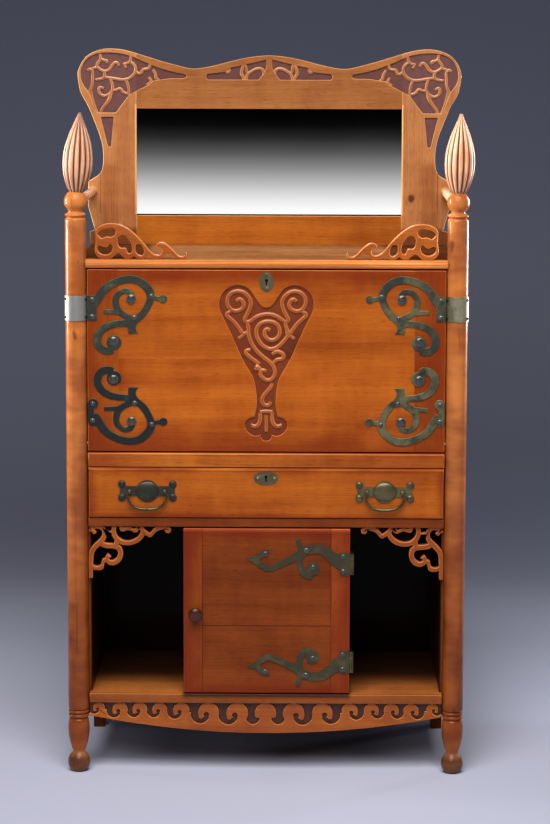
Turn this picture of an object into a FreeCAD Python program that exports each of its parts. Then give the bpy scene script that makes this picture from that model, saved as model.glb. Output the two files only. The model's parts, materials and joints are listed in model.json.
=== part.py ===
import FreeCAD, Part
import math
import os
import re

from FreeCAD import Placement, Rotation, Vector

# A drop front desk: two turned front posts, a boarded case with a drawer, a cupboard between two
# open compartments, a fall front that becomes the writing surface, and a mirror back.
# Millimetres. X is to the right, the front faces -Y, Z is up, and the floor is at Z = 0.

doc = FreeCAD.newDocument("drop_front_desk")
sheet = doc.addObject("Spreadsheet::Sheet", "sizes")

# Driving dimensions: alias, value, what it measures.
SIZES = (
    ("front_reach", "36", "post axis to the foremost point, the cupboard knob"),
    ("case_depth", "395", "post axis to the rear face of the case"),
    ("fit_gap", "0.2", "gap at a scribed joint against a round post"),
    ("run_gap", "0.4", "gap under and beside a sliding piece"),
    ("pin_play", "0.06", "radial play of a pin in its bore"),
    ("post_x", "424", "post axis from the centre line"),
    ("post_radius", "23.5", "radius of the post shaft"),
    ("foot_flat", "12", "radius of the flat under a ball foot"),
    ("foot_radius", "25", "largest radius of a ball foot"),
    ("foot_height", "45", "height of a ball foot"),
    ("neck_radius", "14.5", "radius of the neck above a ball foot"),
    ("vase_bottom", "49", "height where the vase turning starts"),
    ("vase_top", "125", "height where the vase turning ends"),
    ("vase_bulge", "5", "swell of the vase beyond a straight taper"),
    ("bead_radius", "21.5", "radius at the sides of the turned beads"),
    ("bead_swell", "2", "swell of a bead beyond its sides"),
    ("bead_height", "8", "height of one bead"),
    ("shaft_rise", "87", "end of the plain shaft above the case top"),
    ("ball_radius", "26", "radius of the ball under a finial"),
    ("ball_neck", "16", "radius where the ball meets its necks"),
    ("finial_rise", "150", "start of the finial above the case top"),
    ("finial_height", "175", "height of a finial"),
    ("finial_radius", "32", "largest radius of a finial"),
    ("finial_ribs", "14", "number of ribs round a finial"),
    ("finial_groove", "0.17", "depth of the grooves between ribs as part of the radius"),
    ("rod_inset", "8", "gallery rod axis inside the post axis"),
    ("rod_rise", "127", "gallery rods and post balls above the case top"),
    ("rod_radius", "8", "radius of a gallery rod"),
    ("rod_bead", "10.5", "radius of the beads on a gallery rod"),
    ("rod_beads", "12", "number of beads on a gallery rod"),
    ("rod_seat", "4", "length of a gallery rod scribed over a post ball"),
    ("side_inset", "30", "inner face of a side board inside the post axis"),
    ("side_thick", "26", "thickness of a side board"),
    ("side_drop", "32", "side board below the underside of the shelf"),
    ("stop_gap", "1", "gap from the closed fall to the side boards"),
    ("post_gap", "2", "gap from a post to the pieces between the posts"),
    ("leg_depth", "47", "depth of a rear leg"),
    ("back_thick", "18", "thickness of the back panel"),
    ("desk_opening", "414", "height from the desk floor to the case top"),
    ("top_thick", "19", "thickness of the case top"),
    ("top_overhang", "14", "case top in front of the post axis"),
    ("foot_gap", "1.1", "gap from the fall to the desk floor"),
    ("fall_gap", "3", "gap from the fall to the case top"),
    ("fall_thick", "22", "thickness of the fall"),
    ("fall_seam", "211", "joint between the two fall boards above the lower edge of the fall"),
    ("fall_cleat", "69", "width of a fall cleat"),
    ("pivot_rise", "17.4", "pivot axis above the lower edge of the fall"),
    ("pivot_radius", "5", "radius of a fall pivot pin"),
    ("pivot_reach", "12", "length of a pivot pin inside a post and inside a cleat"),
    ("drawer_opening", "119", "height of the drawer opening"),
    ("floor_thick", "31", "thickness of the desk floor"),
    ("floor_nose", "20", "desk floor in front of the post axis"),
    ("bed_thick", "27", "thickness of the raised writing bed"),
    ("bed_front", "20", "front edge of the writing bed behind the post axis"),
    ("bed_gap", "16", "gap from the writing bed to a side board"),
    ("cupboard_height", "384.5", "height from the shelf to the drawer board"),
    ("board_thick", "19", "thickness of the drawer board"),
    ("board_nose", "8", "drawer board in front of the post axis"),
    ("shelf_height", "161.5", "underside of the bottom shelf above the floor"),
    ("shelf_thick", "21", "thickness of the bottom shelf"),
    ("shelf_nose", "12", "bottom shelf in front of the post axis"),
    ("divider_x", "166", "inner face of a divider from the centre line"),
    ("divider_thick", "18", "thickness of a divider"),
    ("divider_front", "10", "front edge of a divider behind the post axis"),
    ("front_face", "11", "drawer and door faces in front of the post axis"),
    ("front_thick", "20", "thickness of the drawer front and of the door"),
    ("drawer_end_gap", "1.5", "drawer front short of the other pieces between the posts"),
    ("drawer_gap", "3", "gap above and below the drawer front"),
    ("drawer_side", "12", "thickness of the drawer sides and back"),
    ("drawer_side_gap", "1", "gap from a drawer side to a side board"),
    ("drawer_back_gap", "23", "gap from the drawer to the back panel"),
    ("drawer_head_gap", "22.6", "gap from the drawer sides to the desk floor"),
    ("drawer_base", "6", "thickness of the drawer bottom"),
    ("drawer_base_rise", "8", "drawer bottom above the lower edge of the sides"),
    ("door_left_lap", "1", "door beyond the outer face of the left divider"),
    ("door_right_lap", "5", "door beyond the outer face of the right divider"),
    ("door_gap", "3.6", "gap above and below the door"),
    ("door_seam", "154.9", "joint between the two door boards above the lower edge of the door"),
    ("door_cleat", "42", "width of a door cleat"),
    ("hinge_offset", "5", "door hinge axis beyond the right edge of the door"),
    ("hinge_pin", "2.4", "radius of a hinge pin"),
    ("hinge_knuckle", "4.2", "radius of a hinge knuckle"),
    ("hinge_drop", "79.4", "upper strap hinge below the upper edge of the door"),
    ("hinge_rise", "72.4", "lower strap hinge above the lower edge of the door"),
    ("strap_length", "230", "length of a strap hinge on the door"),
    ("knuckle_height", "24", "height of the tube of a strap hinge"),
    ("leaf_height", "48", "height of a hinge leaf"),
    ("leaf_length", "40", "length of a hinge leaf along the divider"),
    ("leaf_crank", "6", "crank of a hinge leaf behind the edge of the divider"),
    ("knob_inset", "27", "knob axis inside the left edge of the door"),
    ("knob_rise", "182.9", "knob above the lower edge of the door"),
    ("knob_radius", "16.5", "radius of the knob"),
    ("knob_neck", "8.5", "radius of the neck and of the face of the knob"),
    ("spindle_radius", "4", "radius of the knob spindle"),
    ("latch_lip", "4", "wood of the divider in front of the latch slot"),
    ("latch_thick", "4", "thickness of the latch arm"),
    ("latch_length", "20", "length of the latch arm from the knob axis"),
    ("latch_width", "11", "width of the latch arm"),
    ("latch_room", "1", "room about the latch arm in its slot"),
    ("metal", "2.4", "thickness of the mounts and straps"),
    ("screw_radius", "4.2", "radius of a round screw head"),
    ("screw_top", "2.6", "radius of the flat on a round screw head"),
    ("screw_rise", "2", "height of a round screw head"),
    ("band_thick", "1.6", "thickness of a post band"),
    ("band_height", "56", "height of a post band and of a mount plate"),
    ("mount_plate", "22", "width of a mount plate"),
    ("mount_drop", "86", "upper mounts and post bands below the upper edge of the fall"),
    ("mount_rise", "90", "lower mounts above the lower edge of the fall"),
    ("mount_gap", "24", "space between an upper and a lower mount"),
    ("fall_plate_drop", "26", "fall escutcheon below the upper edge of the fall"),
    ("fall_plate_wide", "32", "width of the fall escutcheon"),
    ("fall_plate_tall", "45", "height of the fall escutcheon"),
    ("drawer_plate_rise", "90", "drawer escutcheon above the lower edge of the drawer front"),
    ("drawer_plate_wide", "55", "width of the drawer escutcheon"),
    ("drawer_plate_tall", "32", "height of the drawer escutcheon"),
    ("key_radius", "3", "radius of a keyhole"),
    ("pull_x", "266", "centre of a pull from the centre line"),
    ("pull_rise", "60", "pulls above the lower edge of the drawer front"),
    ("stud_spacing", "79", "distance between the two studs of a pull"),
    ("stud_radius", "4.5", "radius of a pull stud"),
    ("stud_length", "12", "length of a pull stud in front of its plate"),
    ("bail_axis", "7", "bail axis in front of the pull plate"),
    ("bail_radius", "2.6", "radius of the bail rod"),
    ("bail_drop", "40", "drop of a bail below its axis"),
    ("bail_flat", "50", "length of the straight grip of a bail"),
    ("bail_bend", "20", "bend radius of a bail"),
    ("stay_radius", "170", "radius of a quadrant stay about the fall pivot"),
    ("stay_width", "8", "width of a quadrant stay"),
    ("stay_thick", "3", "thickness of a quadrant stay"),
    ("stay_inset", "11", "middle of a quadrant stay inside the inner face of a side board"),
    ("stay_tail", "5", "degrees of a quadrant stay below the pivot"),
    ("stay_play", "0.6", "play of a stay in its guide"),
    ("guide_wall", "2.5", "wall of a stay guide beside its slot"),
    ("guide_depth", "10", "length of a stay guide"),
    ("guide_gap", "2", "stay guide behind the front edge of a side board"),
    ("lock_width", "62", "width of a lock case"),
    ("lock_height", "42", "height of a lock case"),
    ("lock_thick", "10", "thickness of a lock case"),
    ("bolt_width", "16", "width of a lock bolt"),
    ("bolt_thick", "5", "thickness of a lock bolt"),
    ("bolt_travel", "8", "throw of a lock bolt"),
    ("bolt_room", "2", "room above a thrown lock bolt"),
    ("mirror_thick", "22", "thickness of the mirror frame"),
    ("mirror_half", "313", "half width of the mirror opening"),
    ("mirror_sill", "69", "lower edge of the mirror opening above the case top"),
    ("mirror_height", "252", "height of the mirror opening"),
    ("mirror_lap", "7", "lap of the glass behind its frame"),
    ("glass_thick", "4", "thickness of the mirror glass"),
    ("glass_depth", "8", "glass behind the face of the mirror frame"),
    ("carve_depth", "4", "depth of the sunk carving"),
    ("carve_low", "27", "plain wood below the fall carving"),
    ("carve_high", "34", "plain wood above the fall carving"),
    ("carve_half", "105", "half width of the fall carving"),
    ("fret_thick", "14", "thickness of the fretted brackets"),
    ("low_fret_length", "187", "length of a compartment bracket"),
    ("high_fret_length", "238", "length of a gallery bracket from its drawn edge"),
    ("gallery_inset", "9", "drawn edge of a gallery bracket inside the post axis"),
    ("fret_front", "3", "front face of the fretted brackets before the post axis"),
    ("apron_thick", "18", "thickness of the apron"),
    ("apron_nose", "6", "apron in front of the post axis"),
    ("apron_relief", "6", "depth of the carved ground of the apron"),
    ("apron_end", "32", "height of the apron at its ends"),
    ("apron_middle", "71", "height of the apron in the middle"),
    ("apron_edge", "8", "least wood under the waves of the apron"),
    ("apron_head", "1", "space above the waves of the apron"),
    ("pigeon_depth", "188", "depth of the pigeonholes"),
    ("pigeon_inset", "8", "pigeonholes inside the edge of the writing bed"),
    ("pigeon_head", "127", "open space above the pigeonholes"),
    ("pigeon_shelf", "120", "height of the middle pigeonhole shelf above the writing bed"),
    ("pigeon_thick", "10", "thickness of the pigeonhole boards"),
    ("pigeon_columns", "4", "number of pigeonhole columns"),
)

for row, (alias, value, meaning) in enumerate(SIZES, start=1):
    sheet.set("A%d" % row, meaning)
    sheet.set("B%d" % row, value)
    sheet.setAlias("B%d" % row, alias)
doc.recompute()

ALIASES = {alias for alias, value, meaning in SIZES}


class Sizes:
    """Reads a driving dimension from the sheet by its alias."""

    def __getattr__(self, alias):
        return float(sheet.get(alias))


S = Sizes()

# Places that several pieces share, as expressions of the sheet.
AXIS_Y = "((front_reach - case_depth) / 2)"
REAR_Y = "((front_reach + case_depth) / 2)"
FALL_FRONT = f"({AXIS_Y} - fall_thick / 2)"
FALL_BACK = f"({AXIS_Y} + fall_thick / 2)"
STOP_Y = f"({FALL_BACK} + stop_gap)"
BACK_Y = f"({REAR_Y} - back_thick)"
FACE_Y = f"({AXIS_Y} - front_face)"
FACE_BACK = f"({FACE_Y} + front_thick)"
MIRROR_Y = f"({REAR_Y} - mirror_thick)"
SIDE_INNER = "(post_x - side_inset)"
SIDE_OUTER = f"({SIDE_INNER} + side_thick)"
FRONT_HALF = "(post_x - post_radius - post_gap)"
BED_HALF = f"({SIDE_INNER} - bed_gap)"
PIGEON_HALF = f"({BED_HALF} - pigeon_inset)"
DRAWER_SIDE_X = f"({SIDE_INNER} - drawer_side_gap - drawer_side)"
DIVIDER_OUTER = "(divider_x + divider_thick)"
DOOR_LEFT = f"({DIVIDER_OUTER} + door_left_lap)"
DOOR_RIGHT = f"({DIVIDER_OUTER} + door_right_lap)"
KNOB_X = f"({DOOR_LEFT} - knob_inset)"
SHELF_TOP = "(shelf_height + shelf_thick)"
BOARD_UNDER = f"({SHELF_TOP} + cupboard_height)"
BOARD_TOP = f"({BOARD_UNDER} + board_thick)"
FLOOR_UNDER = f"({BOARD_TOP} + drawer_opening)"
FLOOR_TOP = f"({FLOOR_UNDER} + floor_thick)"
BED_TOP = f"({FLOOR_TOP} + bed_thick)"
TOP_UNDER = f"({FLOOR_TOP} + desk_opening)"
CROWN_Z = f"({TOP_UNDER} + top_thick)"
FALL_LOW = f"({FLOOR_TOP} + foot_gap)"
FALL_TOP = f"({TOP_UNDER} - fall_gap)"
PIVOT_Z = f"({FALL_LOW} + pivot_rise)"
DRAWER_LOW = f"({BOARD_TOP} + drawer_gap)"
DRAWER_HIGH = f"({FLOOR_UNDER} - drawer_gap)"
DOOR_LOW = f"({SHELF_TOP} + door_gap)"
DOOR_HIGH = f"({BOARD_UNDER} - door_gap)"
KNOB_Z = f"({DOOR_LOW} + knob_rise)"
MIRROR_LOW = f"({CROWN_Z} + mirror_sill)"
MIRROR_HIGH = f"({MIRROR_LOW} + mirror_height)"
ROD_Z = f"({CROWN_Z} + rod_rise)"

# The same places as numbers, for the pieces cut to a drawn outline.
axis_y = (S.front_reach - S.case_depth) / 2
rear_y = (S.front_reach + S.case_depth) / 2
fall_front = axis_y - S.fall_thick / 2
fall_back = axis_y + S.fall_thick / 2
face_y = axis_y - S.front_face
mirror_y = rear_y - S.mirror_thick
side_inner = S.post_x - S.side_inset
front_half = S.post_x - S.post_radius - S.post_gap
divider_outer = S.divider_x + S.divider_thick
door_right = divider_outer + S.door_right_lap
shelf_top = S.shelf_height + S.shelf_thick
board_under = shelf_top + S.cupboard_height
board_top = board_under + S.board_thick
floor_under = board_top + S.drawer_opening
floor_top = floor_under + S.floor_thick
top_under = floor_top + S.desk_opening
crown_z = top_under + S.top_thick
fall_low = floor_top + S.foot_gap
fall_top = top_under - S.fall_gap
pivot_z = fall_low + S.pivot_rise
mount_high = fall_top - S.mount_drop
mount_low = fall_low + S.mount_rise
drawer_low = board_top + S.drawer_gap
rod_z = crown_z + S.rod_rise
hinge_high = board_under - S.door_gap - S.hinge_drop
hinge_low = shelf_top + S.door_gap + S.hinge_rise
hinge_x = door_right + S.hinge_offset
hinge_y = face_y - S.metal / 2
knuckle_half = S.knuckle_height / 2
leaf_half = S.leaf_height / 2
MIRRORED = Vector(1, 0, 0)
CENTRE = Vector(0, 0, 0)
ALONG_X = Rotation(Vector(0, 1, 0), 90)
ALONG_Y = Rotation(Vector(1, 0, 0), -90)
FORWARD = Rotation(Vector(1, 0, 0), 90)

parts = []


def bound(text):
    """Writes each alias in an expression as a cell of the sheet."""
    return re.sub(r"[a-z][a-z_]*", lambda word: cell(word.group(0)), text)


def cell(word):
    return "sizes." + word if word in ALIASES else word


def bind(piece, **expressions):
    for name, text in expressions.items():
        piece.setExpression(name.replace("__", "."), bound(text))
    return piece


def place(piece, x, y, z, rotation=Rotation()):
    piece.Placement = Placement(CENTRE, rotation)
    return bind(piece, Placement__Base__x=x, Placement__Base__y=y, Placement__Base__z=z)


def box(name, x, y, z):
    """A board from low to high along each axis; x, y and z are pairs of expressions."""
    piece = doc.addObject("Part::Box", name)
    bind(piece, Length=f"{x[1]} - ({x[0]})", Width=f"{y[1]} - ({y[0]})", Height=f"{z[1]} - ({z[0]})")
    return place(piece, x[0], y[0], z[0])


def rod(name, x, y, z, radius, length, rotation=Rotation()):
    """A round bar from a centre, along Z unless it is turned."""
    piece = doc.addObject("Part::Cylinder", name)
    bind(piece, Radius=radius, Height=length)
    return place(piece, x, y, z, rotation)


def cut(name, base, *tools):
    """The base without its tools."""
    piece = base
    for count, tool in enumerate(tools, start=1):
        step = doc.addObject("Part::Cut", name if count == len(tools) else f"{name}_cut{count}")
        step.Base = piece
        step.Tool = tool
        piece = step
    return piece


def joined(name, *pieces):
    piece = doc.addObject("Part::MultiFuse", name)
    piece.Shapes = list(pieces)
    return piece


def common(name, base, tool):
    piece = doc.addObject("Part::Common", name)
    piece.Base = base
    piece.Tool = tool
    return piece


def group(name, *pieces):
    """Several separate pieces kept in one node."""
    piece = doc.addObject("Part::Compound", name)
    piece.Links = list(pieces)
    return piece


def shaped(name, shape):
    """A piece cut to a drawn outline."""
    piece = doc.addObject("Part::Feature", name)
    piece.Shape = shape
    return piece


def keep(piece, label):
    """Hands a finished piece over under its node name."""
    piece.Label = label
    parts.append(piece)
    return piece


def mirrored(shape):
    return shape.mirror(CENTRE, MIRRORED)


def both(half):
    """From the left to the right of the centre line."""
    return (f"-({half})", half)


def on_side(side, inner, outer):
    """From an inner to an outer distance on the left (-1) or the right (1)."""
    return (inner, outer) if side > 0 else (f"-({outer})", f"-({inner})")


# Turned pieces

def turned(name, profile):
    """A body turned about Z: corners (radius, height, swell), a swell making an arc to the next corner."""
    body = doc.addObject("PartDesign::Body", name)
    sketch = body.newObject("Sketcher::SketchObject", name + "_profile")
    planes = [plane for plane in body.Origin.OriginFeatures if plane.Role == "XZ_Plane"]
    sketch.AttachmentSupport = (planes[0], [""])
    sketch.MapMode = "FlatFace"
    points = [Vector(radius, height, 0) for radius, height, swell in profile]
    for index, start in enumerate(points):
        end = points[(index + 1) % len(points)]
        swell = profile[index][2]
        if swell:
            outward = Vector(end.y - start.y, start.x - end.x, 0).normalize()
            middle = (start + end) * 0.5 + outward * swell
            sketch.addGeometry(Part.Arc(start, middle, end))
        else:
            sketch.addGeometry(Part.LineSegment(start, end))
    turning = body.newObject("PartDesign::Revolution", name + "_turning")
    turning.Profile = sketch
    turning.ReferenceAxis = (sketch, ["V_Axis"])
    turning.Angle = 360
    return body


def post_profile():
    """From the flat of the ball foot up to the ball under the finial."""
    bead = S.bead_height
    groove = S.bead_radius - S.bead_swell
    ball_half = math.sqrt(S.ball_radius ** 2 - S.ball_neck ** 2)
    shaft_low = S.vase_top + 2 * bead
    shaft_top = crown_z + S.shaft_rise
    finial_low = crown_z + S.finial_rise
    foot_swell = S.foot_radius - (S.foot_flat + S.neck_radius) / 2
    return (
        (0, 0, 0),
        (S.foot_flat, 0, foot_swell),
        (S.neck_radius, S.foot_height, 0),
        (S.neck_radius, S.vase_bottom, S.vase_bulge),
        (S.bead_radius, S.vase_top - S.bead_swell, 0),
        (groove, S.vase_top, 0),
        (S.bead_radius, S.vase_top, S.bead_swell),
        (S.bead_radius, S.vase_top + bead, S.bead_swell),
        (S.bead_radius, shaft_low, 0),
        (groove, shaft_low, 0),
        (S.post_radius, shaft_low + S.bead_swell, 0),
        (S.post_radius, shaft_top - S.bead_swell, 0),
        (groove, shaft_top, 0),
        (S.bead_radius, shaft_top, S.bead_swell),
        (S.bead_radius, shaft_top + bead, 0),
        (S.ball_neck, rod_z - ball_half, S.ball_radius - S.ball_neck),
        (S.ball_neck, rod_z + ball_half, 0),
        (S.ball_neck, finial_low, 0),
        (0, finial_low, 0),
    )


def post(side, word):
    body = turned(word + "_post_turning", post_profile())
    x = f"{side} * post_x"
    place(body, x, AXIS_Y, "0")
    bore_x = f"{side} * (post_x - post_radius - fit_gap)" if side > 0 else \
        "-(post_x - post_radius + pivot_reach + fit_gap)"
    bore = rod(word + "_pivot_bore", bore_x, AXIS_Y, PIVOT_Z, "pivot_radius + pin_play",
               "pivot_reach + 2 * fit_gap", ALONG_X)
    keep(cut(word + "_post", body, bore), word + "_post")


def finial_shape():
    """A ribbed bud, lofted through lobed rings."""
    rings = ((0.0, 0.56), (0.08, 0.72), (0.2, 0.95), (0.33, 1.0), (0.5, 0.86), (0.7, 0.56),
             (0.88, 0.25), (1.0, 0.07))
    ribs = int(S.finial_ribs)
    wires = []
    for rise, share in rings:
        points = []
        for step in range(2 * ribs):
            angle = math.pi * step / ribs
            radius = S.finial_radius * share * (1 - S.finial_groove * (step % 2))
            points.append(Vector(radius * math.cos(angle), radius * math.sin(angle),
                                 rise * S.finial_height))
        ring = Part.BSplineCurve()
        ring.interpolate(Points=points, PeriodicFlag=True)
        wires.append(Part.Wire([ring.toShape()]))
    return Part.makeLoft(wires, True)


def finials():
    bud = finial_shape()
    pair = []
    for side, word in ((-1, "left"), (1, "right")):
        piece = shaped(word + "_finial", bud if side > 0 else mirrored(bud))
        place(piece, f"{side} * post_x", AXIS_Y, f"{CROWN_Z} + finial_rise")
        pair.append(piece)
    keep(group("finials", *pair), "finials")


def gallery_rods():
    """Beaded rods from the post balls back to the mirror frame."""
    start = math.sqrt(S.ball_radius ** 2 - S.rod_inset ** 2 - S.rod_radius ** 2) - S.rod_seat
    length = mirror_y - axis_y - start
    pitch = length / (S.rod_beads + 1)
    profile = [(0, 0, 0), (S.rod_radius, 0, 0)]
    for bead in range(int(S.rod_beads)):
        low = pitch * (bead + 0.75)
        profile.append((S.rod_radius, low, S.rod_bead - S.rod_radius))
        profile.append((S.rod_radius, low + pitch * 0.5, 0))
    profile += [(S.rod_radius, length, 0), (0, length, 0)]
    pair = []
    for side, word in ((-1, "left"), (1, "right")):
        body = turned(word + "_rod_turning", profile)
        place(body, f"{side} * (post_x - rod_inset)", f"{AXIS_Y} + {start}", ROD_Z, ALONG_Y)
        ball = doc.addObject("Part::Sphere", word + "_rod_seat")
        bind(ball, Radius="ball_radius + fit_gap")
        place(ball, f"{side} * post_x", AXIS_Y, ROD_Z)
        pair.append(cut(word + "_rod", body, ball))
    keep(group("gallery_rods", *pair), "gallery_rods")


# The case

def post_clearance(side, name):
    """The space that a post takes, with the gap of a scribed joint."""
    return rod(name, f"{side} * post_x", AXIS_Y, "0", "post_radius + fit_gap", CROWN_Z + " + 1")


def side_boards():
    for side, word in ((-1, "left"), (1, "right")):
        board = box(word + "_side_blank", on_side(side, SIDE_INNER, SIDE_OUTER),
                    (STOP_Y, f"{REAR_Y} - leg_depth"), ("shelf_height - side_drop", TOP_UNDER))
        swing_x = on_side(side, f"{SIDE_INNER} - 1", f"{FRONT_HALF} + post_gap")
        swing = rod(word + "_side_swing", swing_x[0], AXIS_Y, PIVOT_Z, "pivot_rise + foot_gap",
                    f"{swing_x[1]} - ({swing_x[0]})", ALONG_X)
        scribe = post_clearance(side, word + "_side_scribe")
        keep(cut(word + "_side", board, scribe, swing), word + "_side_board")


def rear_legs():
    pair = [box(word + "_rear_leg", on_side(side, SIDE_INNER, SIDE_OUTER),
                (f"{REAR_Y} - leg_depth", REAR_Y), ("0", TOP_UNDER))
            for side, word in ((-1, "left"), (1, "right"))]
    keep(group("rear_legs", *pair), "rear_legs")


def case_top():
    nose = "top_thick / 2"
    blank = box("top_blank", both(SIDE_OUTER),
                (f"{AXIS_Y} - top_overhang + {nose}", REAR_Y), (TOP_UNDER, CROWN_Z))
    round_edge = rod("top_nose", f"-{SIDE_OUTER}", f"{AXIS_Y} - top_overhang + {nose}",
                     f"{TOP_UNDER} + {nose}", nose, f"2 * {SIDE_OUTER}", ALONG_X)
    board = joined("top_board", blank, round_edge)
    bolt_hole = box("top_bolt_hole", both("bolt_width / 2 + run_gap"), bolt_span(FALL_BACK),
                    (f"{TOP_UNDER} - 1", f"{FALL_TOP} + bolt_travel + bolt_room"))
    keep(cut("top", board, post_clearance(-1, "top_scribe_left"), post_clearance(1, "top_scribe_right"),
             bolt_hole), "case_top")


def bolt_span(face):
    """The thickness of a lock bolt with its gap, behind a face."""
    middle = f"{face} + lock_thick / 2"
    return (f"{middle} - bolt_thick / 2 - run_gap", f"{middle} + bolt_thick / 2 + run_gap")


def nosed_board(name, nose, z, hole=None):
    """A full depth board whose front part fills the width between the posts."""
    front = box(name + "_front", both(FRONT_HALF), (f"{AXIS_Y} - {nose}", STOP_Y), z)
    back = box(name + "_back", both(SIDE_INNER), (STOP_Y, BACK_Y), z)
    board = joined(name + "_board", front, back)
    tools = [hole] if hole else []
    scribes = [post_clearance(-1, name + "_scribe_left"), post_clearance(1, name + "_scribe_right")]
    keep(cut(name + "_cut", board, *scribes, *tools), name)


def case_boards():
    bolt_hole = box("floor_bolt_hole", both("bolt_width / 2 + run_gap"), bolt_span(FACE_BACK),
                    (f"{FLOOR_UNDER} - 1", f"{DRAWER_HIGH} + bolt_travel + bolt_room"))
    nosed_board("desk_floor", "floor_nose", (FLOOR_UNDER, FLOOR_TOP), bolt_hole)
    nosed_board("drawer_board", "board_nose", (BOARD_UNDER, BOARD_TOP))
    nosed_board("bottom_shelf", "shelf_nose", ("shelf_height", SHELF_TOP))
    keep(box("bed", both(BED_HALF), (f"{AXIS_Y} + bed_front", BACK_Y), (FLOOR_TOP, BED_TOP)),
         "writing_bed")
    keep(box("back", both(SIDE_INNER), (BACK_Y, REAR_Y), ("shelf_height", TOP_UNDER)), "back_panel")


def dividers():
    depth = (f"{AXIS_Y} + divider_front", BACK_Y)
    height = (SHELF_TOP, BOARD_UNDER)
    left = box("left_divider_blank", on_side(-1, "divider_x", DIVIDER_OUTER), depth, height)
    reach = "latch_length + latch_room"
    slot_front = f"{AXIS_Y} + divider_front + latch_lip"
    slot = box("latch_slot", (f"-({KNOB_X} + {reach})", "-(divider_x - 1)"),
               (slot_front, f"{slot_front} + latch_thick + 2 * latch_room"),
               (f"{KNOB_Z} - {reach}", f"{KNOB_Z} + latch_width / 2 + latch_room"))
    keep(cut("left_divider_slotted", left, slot), "left_divider")
    keep(box("right_divider_board", on_side(1, "divider_x", DIVIDER_OUTER), depth, height),
         "right_divider")


def pigeonholes():
    """Two rows of open pigeonholes standing on the writing bed."""
    depth = (f"{BACK_Y} - pigeon_depth", BACK_Y)
    width = both(PIGEON_HALF)
    shelf_low = f"{BED_TOP} + pigeon_shelf"
    top_low = f"{TOP_UNDER} - pigeon_head - pigeon_thick"
    shelves = [box("pigeon_middle", width, depth, (shelf_low, f"{shelf_low} + pigeon_thick")),
               box("pigeon_top", width, depth, (top_low, f"{top_low} + pigeon_thick"))]
    keep(group("pigeonhole_shelves", *shelves), "pigeonhole_shelves")
    uprights = []
    rows = ((BED_TOP, shelf_low), (f"{shelf_low} + pigeon_thick", top_low))
    for row, height in enumerate(rows):
        for column in range(int(S.pigeon_columns) + 1):
            low = f"-{PIGEON_HALF} + {column} * (2 * {PIGEON_HALF} - pigeon_thick) / pigeon_columns"
            uprights.append(box(f"pigeon_upright_{row}_{column}", (low, f"{low} + pigeon_thick"),
                                depth, height))
    keep(group("pigeonhole_uprights", *uprights), "pigeonhole_uprights")


# Drawn outlines. A drawn point is (across, up); a face lies in the XZ plane and is pushed along Y.

def flat(across, up):
    return Vector(across, 0, up)


def spline(points, closed=False):
    curve = Part.BSplineCurve()
    curve.interpolate(Points=[flat(*point) for point in points], PeriodicFlag=closed)
    return curve.toShape()


def lines(*points):
    return [Part.LineSegment(flat(*start), flat(*end)).toShape()
            for start, end in zip(points, points[1:])]


def face_of(*edges):
    return Part.Face(Part.Wire(Part.__sortEdges__(list(edges))))


def disc(across, up, radius):
    return Part.Face(Part.Wire([Part.makeCircle(radius, flat(across, up), Vector(0, 1, 0))]))


def plate(left, right, low, high):
    return face_of(*lines((left, low), (right, low), (right, high), (left, high), (left, low)))


def ribbon(*stations):
    """A scroll band through stations (across, up, width), smooth along both sides."""
    left = []
    right = []
    for index, (across, up, width) in enumerate(stations):
        before = stations[max(index - 1, 0)]
        after = stations[min(index + 1, len(stations) - 1)]
        along = Vector(after[0] - before[0], 0, after[1] - before[1]).normalize()
        left.append((across - along.z * width / 2, up + along.x * width / 2))
        right.append((across + along.z * width / 2, up - along.x * width / 2))
    return face_of(spline(left), spline(right), *lines(left[0], right[0]), *lines(left[-1], right[-1]))


def pushed(face, front, thick):
    """A face moved to its front plane and thickened towards the back."""
    solid = face.extrude(Vector(0, thick, 0))
    solid.translate(Vector(0, front, 0))
    return solid


def united(faces, front, thick):
    """Overlapping faces thickened into one solid."""
    solids = [pushed(face, front, thick) for face in faces]
    return solids[0].fuse(solids[1:]).removeSplitter()


def sized(faces, share):
    """Drawn faces enlarged about the point they are drawn from."""
    return [face.scaled(share) for face in faces]


def moved(shape, across, up):
    copy = shape.copy()
    copy.translate(flat(across, up))
    return copy


def flipped(shape):
    return shape.mirror(CENTRE, Vector(0, 0, 1))


# The fall front

def fall_board(name, x, z):
    return box(name, x, (FALL_FRONT, FALL_BACK), z)


def rounded_foot(name, x):
    """The lower edge of the fall, rounded about the pivot so that it turns above the desk floor."""
    bar = rod(name + "_round", x[0], AXIS_Y, PIVOT_Z, "pivot_rise", f"{x[1]} - ({x[0]})", ALONG_X)
    return common(name, bar, fall_board(name + "_limit", x, (FALL_LOW, PIVOT_Z)))


def lyre_field():
    """The sunk field of the fall carving: a heart that narrows to a stem on three lobes.

    Drawn in shares of its half width and of its height.
    """
    half = ((0, 0.857), (-0.07, 0.861), (-0.146, 0.88), (-0.21, 0.909), (-0.275, 0.939), (-0.385, 0.979),
            (-0.61, 1), (-0.876, 0.966), (-1, 0.877), (-0.867, 0.765), (-0.667, 0.636), (-0.438, 0.49),
            (-0.276, 0.404), (-0.205, 0.304), (-0.205, 0.218), (-0.248, 0.155))
    lobe = ((-0.248, 0.155), (-0.448, 0.092), (-0.324, 0.04), (-0.114, 0.04))
    stub = ((-0.114, 0.04), (-0.108, 0.018), (-0.07, 0.004), (0, 0))
    foot = fall_low + S.carve_low
    tall = fall_top - S.carve_high - foot
    edges = []
    for side in (1, -1):
        wide = side * S.carve_half
        runs = [[(wide * x, foot + tall * z) for x, z in run] for run in (half, lobe, stub)]
        edges += [spline(run) for run in runs]
    return pushed(face_of(*edges), fall_front - 1, S.carve_depth + 1)


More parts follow.
